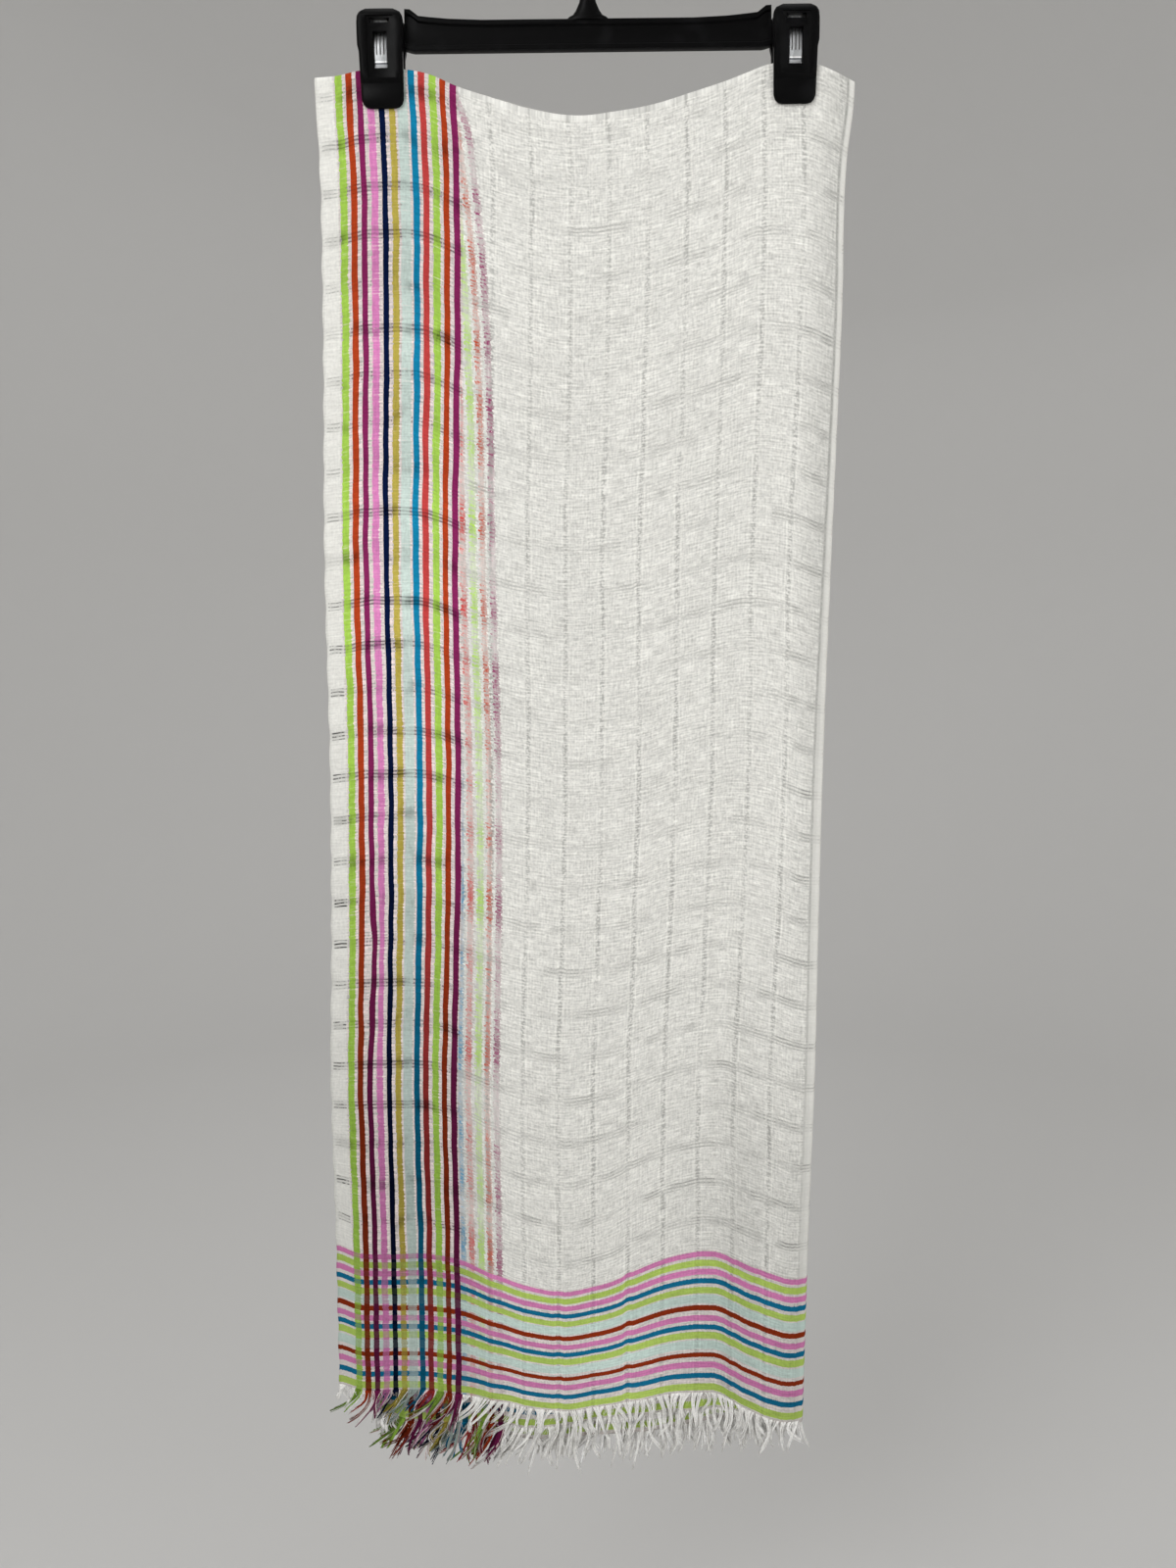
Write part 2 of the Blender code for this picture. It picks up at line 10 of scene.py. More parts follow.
import bpy
import numpy as np
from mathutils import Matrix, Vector


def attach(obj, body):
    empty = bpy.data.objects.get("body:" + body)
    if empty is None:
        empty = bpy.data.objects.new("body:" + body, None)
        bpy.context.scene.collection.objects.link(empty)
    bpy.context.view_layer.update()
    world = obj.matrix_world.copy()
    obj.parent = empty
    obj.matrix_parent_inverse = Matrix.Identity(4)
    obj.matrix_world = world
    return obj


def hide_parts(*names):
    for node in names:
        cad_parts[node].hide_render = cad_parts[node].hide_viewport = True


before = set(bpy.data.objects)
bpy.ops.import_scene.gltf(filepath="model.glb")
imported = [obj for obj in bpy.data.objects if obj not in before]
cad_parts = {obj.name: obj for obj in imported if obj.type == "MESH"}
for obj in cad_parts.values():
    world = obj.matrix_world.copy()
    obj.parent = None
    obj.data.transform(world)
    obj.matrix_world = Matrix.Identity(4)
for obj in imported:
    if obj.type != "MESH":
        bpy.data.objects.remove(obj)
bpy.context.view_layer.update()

MM = 0.001

# The folded cloth, on the form of the solids
Top = namedtuple("Top", "across drop")
TOP_EDGE = [
    Top(-181.5, 110.8), Top(-166.7, 109.5), Top(-153.6, 106.5), Top(-137.0, 105.6), Top(-121.5, 105.5),
    Top(-105.2, 108.6), Top(-88.2, 115.7), Top(-66.0, 122.7), Top(-41.2, 129.7), Top(-20.0, 133.5),
    Top(-2.0, 134.4), Top(18.0, 132.0), Top(45.1, 127.3), Top(71.9, 119.3), Top(93.5, 112.6),
    Top(106.5, 107.7), Top(121.5, 102.2), Top(137.0, 101.0), Top(152.9, 102.0), Top(166.7, 107.1),
    Top(177.5, 112.6),
]
Edge = namedtuple("Edge", "drop selvedge fold")
EDGES = [
    Edge(100, -181.5, 177.5), Edge(125, -181.0, 177.5), Edge(160, -179.6, 174.0), Edge(260, -180.0, 173.2),
    Edge(420, -183.7, 170.4), Edge(580, -184.0, 168.2), Edge(700, -186.6, 168.0), Edge(800, -190.0, 168.2),
    Edge(930, -189.6, 166.4), Edge(1080, -190.2, 165.6),
]
Hem = namedtuple("Hem", "across front_outer front_inner back_inner back_outer")
HEMS = [
    Hem(-190, 1054.5, 1081, 1078, 1072), Hem(-158, 1054.5, 1081, 1081, 1074),
    Hem(-99, 1055.5, 1081, 1088, 1080), Hem(-75, 1061, 1082, 1090, 1083),
    Hem(-41, 1067, 1084, 1093, 1088), Hem(-22, 1070, 1084, 1094, 1090),
    Hem(0, 1070, 1082, 1094, 1090), Hem(20, 1068, 1079, 1093, 1089),
    Hem(38, 1064, 1077, 1091, 1087), Hem(57, 1058, 1074, 1088, 1085),
    Hem(83, 1056, 1072, 1082, 1079), Hem(96, 1058, 1071, 1080, 1077),
    Hem(116, 1065, 1071, 1076, 1074), Hem(128, 1071, 1071, 1074, 1072),
    Hem(142, 1079, 1072, 1072, 1071), Hem(151, 1082, 1073, 1071, 1070),
    Hem(158, 1081, 1073, 1069, 1069), Hem(166, 1078, 1072, 1068, 1068),
]
# How far each layer has slipped sideways at the foot, and the share of it further up
SLIP = {"front_outer": 0.0, "front_inner": 32.0, "back_inner": 30.0, "back_outer": 27.0}
SlipShare = namedtuple("SlipShare", "drop share")
SLIP_SHARES = [
    SlipShare(100, 0.0), SlipShare(117, 0.0), SlipShare(139, 0.24), SlipShare(174, 0.37),
    SlipShare(218, 0.52), SlipShare(319, 0.71), SlipShare(514, 0.87), SlipShare(728, 0.97),
    SlipShare(957, 1.0), SlipShare(1100, 1.0),
]
# A level near the hems, where the place across is read, and the solids' wall of cloth
HEM_LEVEL = 1060.0
WALL = 1.0
# From one layer to the next in the clips, below them and between them
GRIP_PITCH, HANG_PITCH, SAG_PITCH = 1.3, 2.2, 3.2
# How far the tight grip reaches beside a clip and below it, and between which drops the sag ends
GRIP_HALF, GRIP_FADE, GRIP_FOOT, HANG_FROM = 17.0, 60.0, 128.0, 230.0
SAG_FROM, SAG_TO = 180.0, 420.0
# The clips and their springs, as drops or distances from the middle
CLIP_AT = 136.7
CLIP_TILT = 0.011
SPRING_HEAD, SPRING_GROOVES_END, SPRING_FOOT = 80.0, 97.0, 105.8
GROOVE_PITCH = 2.4

# A crease runs from its top to its foot, and out through the hem where its foot is this far down
THROUGH_HEM = 900.0
Crease = namedtuple("Crease", "top_across top_drop foot_across foot_drop half_width depth")
CREASES = [
    Crease(-118, 150, -70, 420, 16, 1.6), Crease(-96, 190, -20, 330, 20, -2.0),
    Crease(112, 150, 60, 360, 18, 1.5), Crease(92, 200, 34, 400, 20, -1.8),
    Crease(-60, 560, -46, 1100, 26, -3.0), Crease(6, 640, 24, 1100, 30, 3.2),
    Crease(96, 520, 107, 1110, 13, 3.6), Crease(128, 430, 118, 1110, 16, -2.6),
    Crease(150, 600, 146, 1110, 12, 2.0), Crease(-150, 300, -156, 1100, 18, 1.8),
    Crease(-112, 620, -108, 1110, 14, -2.2),
]
# Finer creases that only the thin shell shows
FINE_CREASES = [
    Crease(-157, 640, -152, 700, 2.6, 1.5), Crease(-154, 600, -160, 735, 5.0, -0.8),
    Crease(-124, 128, -112, 200, 5.0, 0.9), Crease(-148, 128, -156, 190, 5.0, 0.8),
    Crease(124, 130, 112, 196, 5.0, 0.9), Crease(150, 130, 160, 190, 5.0, 1.0),
    Crease(101, 600, 98, 1010, 5.5, 1.3), Crease(132, 700, 117, 1060, 5.5, -1.1),
    Crease(-20, 500, -30, 720, 9.0, 0.8), Crease(48, 420, 40, 640, 8.0, -0.8),
    Crease(-72, 700, -64, 980, 7.0, 1.0), Crease(70, 300, 76, 520, 8.0, 0.9),
]

# The weave: a coloured stripe has its middle and width, counted from the selvedge or the cut end
Stripe = namedtuple("Stripe", "middle width colour")
LIME = (0.42, 0.69, 0.10)
RUST = (0.50, 0.060, 0.016)
PURPLE = (0.270, 0.022, 0.120)
PINK = (0.79, 0.260, 0.57)
NAVY = (0.003, 0.009, 0.048)
GOLD = (0.54, 0.44, 0.085)
MINT = (0.64, 0.76, 0.71)
BLUE = (0.008, 0.25, 0.46)
CORAL = (0.60, 0.065, 0.062)
LIGHT_COLOURS = (LIME, PINK, GOLD, MINT)
HEM_LIME = (0.44, 0.60, 0.130)
HEM_PINK = (0.66, 0.220, 0.46)
HEM_BLUE = (0.008, 0.155, 0.290)
HEM_RUST = (0.26, 0.030, 0.008)
HEM_MINT = (0.57, 0.70, 0.65)
WHITE = (0.79, 0.785, 0.745)
SELVEDGE_WHITE = (0.86, 0.855, 0.81)
BLUSH = (0.84, 0.68, 0.67)
# Painted shade seen through the open gaps where the sheer bands cross the stripes
BAND_GAP_SHADE = (0.19, 0.15, 0.17)
WARP_STRIPES = [
    Stripe(15.1, 4.6, LIME), Stripe(22.0, 4.2, RUST), Stripe(28.9, 3.9, PURPLE), Stripe(35.8, 4.7, PINK),
    Stripe(42.7, 3.9, NAVY), Stripe(49.5, 4.3, GOLD), Stripe(56.7, 6.6, MINT), Stripe(63.7, 4.0, BLUE),
    Stripe(70.5, 4.3, CORAL), Stripe(77.4, 4.7, LIME), Stripe(84.2, 4.1, RUST), Stripe(91.1, 4.1, PURPLE),
]
LIGHT_STRIPES = [stripe for stripe in WARP_STRIPES if stripe.colour in LIGHT_COLOURS]
DARK_STRIPES = [stripe for stripe in WARP_STRIPES if stripe.colour not in LIGHT_COLOURS]
HEM_STRIPES = [
    Stripe(6.3, 5.6, HEM_LIME), Stripe(15.6, 4.1, HEM_BLUE), Stripe(24.4, 4.9, HEM_PINK),
    Stripe(32.6, 3.9, HEM_RUST), Stripe(40.6, 7.0, HEM_MINT), Stripe(48.4, 5.4, HEM_LIME),
    Stripe(55.2, 4.1, HEM_BLUE), Stripe(62.6, 4.9, HEM_PINK), Stripe(70.8, 3.9, HEM_RUST),
    Stripe(77.6, 7.0, HEM_MINT), Stripe(84.8, 5.4, HEM_LIME), Stripe(92.4, 4.1, HEM_BLUE),
    Stripe(99.6, 4.9, HEM_PINK), Stripe(106.2, 5.2, HEM_LIME), Stripe(113.4, 4.2, HEM_PINK),
]
HALF_WIDTH = 355.0
CLOTH_LENGTH = 942.0
STRIPES_END = 95.0
BORDER_WIDE = 12.0
HEM_ZONE = 118.0
# Where the cloth is pinched, so that a stripe is pulled sideways
Pinch = namedtuple("Pinch", "low middle high near far pull")
PINCH = Pinch(235.0, 346.0, 398.0, 27.0, 34.5, 2.8)
# The first sheer line and band, and how far it is to the next
SHEER_FIRST, SHEER_PITCH = 115.4, 26.1
BAND_FIRST, BAND_PITCH = 19.3, 30.4

# How long the striped hem looks at several places across, as a share of its length laid flat
HemScale = namedtuple("HemScale", "across scale")
HEM_SCALES = [
    HemScale(-190, 0.985), HemScale(-160, 0.964), HemScale(-97, 0.968), HemScale(-75, 0.922),
    HemScale(-52, 0.892), HemScale(-30, 0.866), HemScale(-15, 0.858), HemScale(0, 0.872),
    HemScale(19, 0.898), HemScale(37, 0.951), HemScale(56, 0.978), HemScale(71, 0.998),
    HemScale(86, 1.013), HemScale(105, 0.995), HemScale(127, 1.0), HemScale(166, 1.0),
]
SCALE_FADE_TO = 420.0
# The selvedge corner curls up a little, and the sheer bands pull the selvedge in
SELVEDGE_LIFT, LIFT_WIDE = 6.5, 12.0
LIFT_FADE_FROM, LIFT_FADE_TO = 110.0, 260.0
SELVEDGE_PULL, PULL_WIDE = 0.35, 7.0
# How much the cut end waves, and how far up
FLUTTER, FLUTTER_UP = 0.7, 70.0

# The shell's grid, finer under the striped border
GAUZE_THICK = 0.3
BORDER_COLUMNS, FIELD_COLUMNS = 34, 50
LAYER_COLUMNS = BORDER_COLUMNS + FIELD_COLUMNS
BORDER_SHARE = 0.28
FOLD_COLUMNS = 6
RIDGE_ROWS = 5
FALL_ROWS = 240


def smooth_line(rows, key, column):
    """A function that follows a table's points along one soft curve."""
    places = np.array([getattr(row, key) for row in rows], float)
    values = np.array([getattr(row, column) for row in rows], float)
    slopes = np.gradient(values, places)

    def at(place):
        """The line's value at a place."""
        place = np.clip(place, places[0], places[-1])
        i = np.clip(np.searchsorted(places, place, side="right") - 1, 0, len(places) - 2)
        span = places[i + 1] - places[i]
        t = (place - places[i]) / span
        start = values[i] * (1 + 2 * t) + slopes[i] * span * t
        end = values[i + 1] * (3 - 2 * t) + slopes[i + 1] * span * (t - 1)
        return start * (1 - t) ** 2 + end * t * t
    return at


TOP_DROP = smooth_line(TOP_EDGE, "across", "drop")
SELVEDGE = smooth_line(EDGES, "drop", "selvedge")
FOLD = smooth_line(EDGES, "drop", "fold")
FOOT = {layer: smooth_line(HEMS, "across", layer) for layer in SLIP}
HEM_SCALE = smooth_line(HEM_SCALES, "across", "scale")
SLIP_SHARE = smooth_line(SLIP_SHARES, "drop", "share")


def ease(low, high, value):
    """0 at low, 1 at high, eased at both ends."""
    share = np.clip((value - low) / (high - low), 0.0, 1.0)
    return share * share * (3 - 2 * share)


def pitch(across, drop):
    """From one layer to the next: tight in the clips, slack between them."""
    sideways = ease(GRIP_HALF, GRIP_FADE, np.abs(np.abs(across) - CLIP_AT))
    downwards = ease(GRIP_FOOT, HANG_FROM, drop)
    sag = sideways * (1 - ease(SAG_FROM, SAG_TO, drop))
    loose = np.maximum(sideways, downwards)
    return GRIP_PITCH + loose * (HANG_PITCH - GRIP_PITCH) + sag * (SAG_PITCH - HANG_PITCH)


def crease_depth(creases, across, drop):
    """How far the creases push the cloth back."""
    push = 0.0
    for crease in creases:
        along = (drop - crease.top_drop) / (crease.foot_drop - crease.top_drop)
        middle = crease.top_across + along * (crease.foot_across - crease.top_across)
        off = (across - middle) / crease.half_width
        ends = 1 - ease(0.85, 1.25, along) if crease.foot_drop < THROUGH_HEM else 1.0
        push = push + crease.depth * ease(0.0, 0.35, along) * ends * np.exp(-off * off)
    return push


def left_edge(layer, drop):
    """Where a layer's selvedge hangs."""
    return SELVEDGE(drop) + SLIP[layer] * SLIP_SHARE(drop)


def waves(across, above):
    """Small uneven puckers between the sheer bands, and a slower swell."""
    band = np.cos(2 * math.pi * (above - BAND_FIRST) / BAND_PITCH)
    uneven = 0.5 + 0.5 * np.sin(across * 0.043 + above * 0.0061) * np.cos(across * 0.017 - above * 0.0093)
    swell = np.sin(across * 0.031 + 1.3) * np.sin(above * 0.0115 + across * 0.004)
    ripple = np.sin(across * 0.12 + above * 0.013) * np.cos(above * 0.05 + across * 0.02)
    return 0.34 * band * uneven + 0.5 * swell + 0.14 * ripple


def hem_flutter(across, above, turn):
    """The loose cut end waves a little more than the cloth above it."""
    near_end = 1 - ease(0.0, FLUTTER_UP, above)
    wave = np.sin(across * 0.085 + 2.0 * turn) + 0.5 * np.sin(across * 0.21 + 1.0)
    return FLUTTER * near_end * wave


def cloth_section():
    """The columns' shares across a layer, and their turns round the lengthwise fold."""
    border = np.linspace(0.0, BORDER_SHARE, BORDER_COLUMNS, endpoint=False)
    flat = np.concatenate([border, np.linspace(BORDER_SHARE, 1.0, FIELD_COLUMNS)])
    turns = np.arange(1, FOLD_COLUMNS + 1) / (FOLD_COLUMNS + 1)
    share = np.concatenate([flat, np.ones(FOLD_COLUMNS), flat[::-1]])
    turn = np.concatenate([np.zeros(LAYER_COLUMNS), turns, np.ones(LAYER_COLUMNS)])
    return share[None, :], turn[None, :]


def cloth_rows():
    """The rows' angles round the ridge, and how far down the fall they lie."""
    tilt = np.concatenate([np.linspace(math.pi / 2, 0.0, RIDGE_ROWS + 1)[:-1], np.zeros(FALL_ROWS + 1)])
    down = np.concatenate([np.zeros(RIDGE_ROWS), np.linspace(0.0, 1.0, FALL_ROWS + 1)])
    return tilt[:, None], down[:, None]


def across_in(layer, share, drop):
    """How far across a point hangs, by its share of the layer's width."""
    left, right = left_edge(layer, drop), FOLD(drop)
    return left + share * (right - pitch(right, drop) / 2 - WALL / 2 - left)


def above_end(raw, across):
    """How far above the cut end a point of the weave is, where the striped hem looks shorter."""
    stretch = 1 / HEM_SCALE(across) - 1
    return raw + stretch * np.minimum(raw, HEM_ZONE) * (1 - ease(HEM_ZONE, SCALE_FADE_TO, raw))


Hang = namedtuple("Hang", "across drop above from_edge turn tilt down")


def hung_points(hang, facing):
    """The cloth's points: layers stacked, turned over the ridge, creased, puckered and lifted."""
    across, drop, above, from_edge, turn, tilt, down = hang
    gap = pitch(across, drop)
    angle = math.pi * turn
    band = np.cos(2 * math.pi * (above - BAND_FIRST) / BAND_PITCH)
    pulled = SELVEDGE_PULL * np.exp(-from_edge / PULL_WIDE) * band
    x = across + gap / 2 * np.sin(angle) + pulled * ease(0.0, 0.06, down)
    stack = gap + gap / 2 * np.cos(angle)
    push = crease_depth(CREASES + FINE_CREASES, across, drop) + waves(across, above)
    push = push + hem_flutter(across, above, turn)
    y = facing * stack * np.cos(tilt) + ease(0.0, 0.12, down) * push
    lift = SELVEDGE_LIFT * np.exp(-(from_edge / LIFT_WIDE) ** 2)
    lift = lift * (1 - ease(LIFT_FADE_FROM, LIFT_FADE_TO, above))
    z = lift - drop + stack * np.sin(tilt)
    return np.stack(np.broadcast_arrays(x, y, z), axis=-1)


def fall_grid(fall):
    """The middle surface of one fall, with each point's place on the flat cut and by its edges."""
    share, turn = cloth_section()
    tilt, down = cloth_rows()
    outer, inner = f"{fall}_outer", f"{fall}_inner"
    top_across = TOP_EDGE[0].across + share * (TOP_EDGE[-1].across - TOP_EDGE[0].across)
    top = TOP_DROP(top_across)
    ridge = top + 1.5 * pitch(top_across, top)
    outer_drop, inner_drop = (ridge + down * (FOOT[layer](across_in(layer, share, HEM_LEVEL)) - ridge)
                              for layer in (outer, inner))
    drop = outer_drop + turn * (inner_drop - outer_drop)
    near, far = across_in(outer, share, drop), across_in(inner, share, drop)
    across = near + turn * (far - near)
    from_edge = across - (left_edge(outer, drop) * (1 - turn) + left_edge(inner, drop) * turn)
    above = above_end((1 - down) * CLOTH_LENGTH, across)
    facing = -1 if fall == "front" else 1
    points = hung_points(Hang(across, drop, above, from_edge, turn, tilt, down), facing)

    behind = np.where(turn > 0, -HALF_WIDTH, across - left_edge(inner, drop))
    layer_number = turn + (2.0 if fall == "back" else 0.0)
    cut = np.stack(np.broadcast_arrays(from_edge, above, layer_number), axis=-1)
    edges = np.stack(np.broadcast_arrays(behind, FOLD(drop) - across, 0.0), axis=-1)
    return points, {"cut": cut, "edges": edges}


def put_in_scene(name, data):
    """A new object in the scene, with this mesh, lamp or camera."""
    thing = bpy.data.objects.new(name, data)
    bpy.context.scene.collection.objects.link(thing)
    return thing


def select_only(thing):
    """Make one object the active and only selected one."""
    bpy.ops.object.select_all(action="DESELECT")
    thing.select_set(True)
    bpy.context.view_layer.objects.active = thing


def grid_mesh(name, points, places):
    """A thin walled mesh over a grid of points in millimetres, which keeps what each place is."""
    rows, columns = points.shape[:2]
    mesh = bpy.data.meshes.new(name)
    corner = (np.arange(rows - 1)[:, None] * columns + np.arange(columns - 1)[None, :]).ravel()
    faces = np.stack([corner, corner + columns, corner + columns + 1, corner + 1], axis=-1)
    mesh.from_pydata((points.reshape(-1, 3) * MM).tolist(), [], faces.tolist())
    for label, values in places.items():
        place = mesh.attributes.new(label, "FLOAT_VECTOR", "POINT")
        place.data.foreach_set("vector", values.reshape(-1, 3).astype(np.float32).ravel())
    thing = put_in_scene(name, mesh)
    select_only(thing)
    wall = thing.modifiers.new("gauze", "SOLIDIFY")
    wall.thickness = GAUZE_THICK * MM
    wall.offset = 0.0
    bpy.ops.object.modifier_apply(modifier=wall.name)
    bpy.ops.object.shade_smooth()
    return thing


class Wire:
    """A socket of a material. Sums and products of wires add Math nodes."""

    def __init__(self, tree, socket=None):
        self.tree, self.socket = tree, socket

    def add(self, kind, settings=None, sockets=None, pick=0):
        """Another node: its type, its settings, then the values or links of its sockets."""
        node = self.tree.nodes.new("ShaderNode" + kind)
        for name, value in (settings or {}).items():
            if name == "stops":
                set_stops(node.color_ramp, value)
            else:
                setattr(node, name, value)
        for key, value in (sockets or {}).items():
            if isinstance(value, Wire):
                self.tree.links.new(value.socket, node.inputs[key])
            else:
                node.inputs[key].default_value = value
        return Wire(self.tree, node.outputs[pick])

    def math(self, operation, *values):
        """A Math node that works on this wire first."""
        return self.add("Math", {"operation": operation}, dict(enumerate((self, *values))))

    def __add__(self, other):
        return self.math("ADD", other)

    def __radd__(self, other):
        return self.math("ADD", other)

    def __sub__(self, other):
        return self.math("SUBTRACT", other)

    def __rsub__(self, other):
        return self.math("MULTIPLY_ADD", -1.0, other)

    def __mul__(self, other):
        return self.math("MULTIPLY", other)

    def __rmul__(self, other):
        return self.math("MULTIPLY", other)

    def __truediv__(self, other):
        return self.math("DIVIDE", other)

    def step(self, low, high, start=0.0, end=1.0):
        """From start to end, eased, as the value goes from low to high."""
        return self.add("MapRange", {"interpolation_type": "SMOOTHSTEP"},
                        {"Value": self, "From Min": low, "From Max": high, "To Min": start, "To Max": end})

    def within(self, low, high, soft):
        """1 between low and high, 0 outside them."""
        return self.step(low - soft, low + soft) * self.step(high - soft, high + soft, 1.0, 0.0)

    def blend(self, below, above):
        """The colour below where the value is 0 and the one above where it is 1."""
        below, above = (value if isinstance(value, Wire) else (*value, 1.0) for value in (below, above))
        return self.add("Mix", {"data_type": "RGBA"}, {0: self, 6: below, 7: above}, pick=2)

    def parts(self):
        """The three numbers of a vector."""
        node = self.add("SeparateXYZ", None, {0: self}).socket.node
        return [Wire(self.tree, output) for output in node.outputs]


def set_stops(ramp, stops):
    """Give a colour ramp its stops, each a place with a colour."""
    ramp.interpolation = "CONSTANT"
    while len(ramp.elements) < len(stops):
        ramp.elements.new(1.0)
    for element, (place, colour) in zip(ramp.elements, stops):
        element.position = place
        element.color = colour


def new_material(name):
    """A material with its shader, as a wire to build from."""
    material = bpy.data.materials.new(name)
    material.use_nodes = True
    return material, Wire(material.node_tree)


def connect(material, sockets):
    """Set or link the sockets of a material's shader."""
    tree = material.node_tree
    shader = tree.nodes["Principled BSDF"]
    for name, value in sockets.items():
        if isinstance(value, Wire):
            tree.links.new(value.socket, shader.inputs[name])
        else:
            shader.inputs[name].default_value = value


def noise(x, y, z, detail=0.0):
    """Noise about 0, between roughly -1 and 1."""
    place = x.add("CombineXYZ", None, {0: x, 1: y, 2: z})
    return x.add("TexNoise", None, {"Vector": place, "Scale": 1.0, "Detail": detail}) * 3.0 - 1.5


def stripe_ramp(place, stripes, reach):
    """Colour and cover of the stripes at a place counted from the edge."""
    stops = [(0.0, (*WHITE, 0.0))]
    for stripe in stripes:
        stops.append(((stripe.middle - stripe.width / 2) / reach, (*stripe.colour, 1.0)))
        stops.append(((stripe.middle + stripe.width / 2) / reach, (*WHITE, 0.0)))
    colour = place.add("ValToRGB", {"stops": stops}, {0: place / reach})
    return colour, Wire(colour.tree, colour.socket.node.outputs[1])


def chance(x, y, z):
    """An even random number from 0 to 1 for each whole place."""
    place = x.add("CombineXYZ", None, {0: x, 1: y, 2: z})
    return x.add("TexWhiteNoise", None, {"Vector": place})


def scaled(colour, tone):
    """A colour made lighter or darker."""
    return colour.add("VectorMath", {"operation": "SCALE"}, {0: colour, 3: tone})


def relief(height, strength, depth):
    """A surface that looks raised where the height is more, by a depth in metres."""
    return height.add("Bump", None, {"Strength": strength, "Distance": depth, "Height": height})


def nearest(value, first, every):
    """How far the value lies from the nearest of a row of evenly spaced places, and which it is."""
    turn = (value - first) / every
    number = turn.math("ROUND")
    return (turn - number) * every, number


# The yarns' unevenness: how fast each kind changes across and along the cloth, per millimetre, and
# which part of the noise each layer takes
Weave = namedtuple("Weave", "across along layer start")
WEAVES = {
    "warp": Weave(0.80, 0.11, 7.3, 0.0), "weft": Weave(0.10, 0.85, 5.1, 20.0),
    "grain": Weave(0.62, 0.62, 3.7, 40.0), "slub": Weave(0.07, 0.90, 9.1, 60.0),
    "slow": Weave(0.020, 0.024, 2.3, 80.0), "drift": Weave(0.011, 0.034, 1.0, 160.0),
    "wobble": Weave(0.06, 0.04, 1.0, 200.0), "patchy": Weave(0.055, 0.05, 1.0, 240.0),
    "uneven": Weave(0.075, 0.05, 3.0, 280.0),
}
Threads = namedtuple("Threads", list(WEAVES))

# How much painted shade each part of the cloth gets, as a share of its light
Shade = namedtuple("Shade", "striped dark_stripe light_stripe beside top right by_fold pleat foot "
                            "hem_gap line band")
SHADE = Shade(striped=0.19, dark_stripe=0.46, light_stripe=0.16, beside=0.17, top=0.13, right=0.10,
              by_fold=0.20, pleat=0.06, foot=0.07, hem_gap=0.12, line=0.27, band=0.7)
# How much of the cloth is open in the sheer lines and bands, and how far apart a band's threads lie
LINE_HOLES, BAND_HOLES = 0.08, 0.10
BAND_RIPPLE = 2.6
# How far in from the cut end and the selvedge the colour ramps reach
HEM_REACH, BORDER_REACH = 120.0, 100.0

# The rolled lengthwise fold, wider in its lower part
RIM_WIDE_LOW, RIM_WIDE_HIGH = 6.4, 4.2
RIM_CHANGES_FROM, RIM_CHANGES_TO = 480.0, 760.0

Spot = namedtuple("Spot", "across above layer behind from_fold")
Lines = namedtuple("Lines", "dark beside kink number")
Bands = namedtuple("Bands", "dark light haze crossing dusk")


def cloth_spot(start):
    """Where a point lies on the flat cut and by the edges of its layer."""
    across, above, layer = start.add("Attribute", {"attribute_name": "cut"}, pick=1).parts()
    behind, from_fold, _ = start.add("Attribute", {"attribute_name": "edges"}, pick=1).parts()
    return Spot(across, above, layer, behind, from_fold)


def thread_shades(spot):
    """Light and shade of the single yarns both ways, of their slubs, and of larger patches."""
    shades = {}
    for name, weave in WEAVES.items():
        part = spot.layer * weave.layer + weave.start
        shades[name] = noise(spot.across * weave.across, spot.above * weave.along, part)
    shades["slub"] = shades["slub"].step(0.6, 1.0)
    return Threads(**shades)


def sheer_lines(spot, threads):
    """Dotted sheer lines along the cloth in painted shade, the light yarn beside each, and how they kink
    its stripes.
    """
    across, above, layer, _, from_fold = spot
    offset, number = nearest(across + threads.slow * 0.8, SHEER_FIRST, SHEER_PITCH)
    offset = offset.math("ABSOLUTE")
    field = across.step(STRIPES_END + 9.0, STRIPES_END + 14.0) * from_fold.step(6.0, 9.0)
    kink = (chance(number, layer, layer) - 0.5) * offset.step(0.4, 4.5, 2.4, 0.0) * field
    strength = noise(number * 2.9, above * 0.014, layer * 6.0).step(-0.9, 0.5, 0.3, 1.0)
    strength = strength * field * above.step(560.0, 860.0, 1.0, 0.8)
    dotted = (threads.weft + threads.grain * 1.3).step(-0.6, 0.5, 1.0, 0.2)
    # Painted shade seen through the sheer line's open gaps; the same mask also opens holes in the outer
    # layer
    dark = offset.step(0.4, 2.3, 1.0, 0.0) * strength * dotted
    beside = offset.within(2.1, 3.0, 0.4) * strength
    return Lines(dark, beside, kink, number)


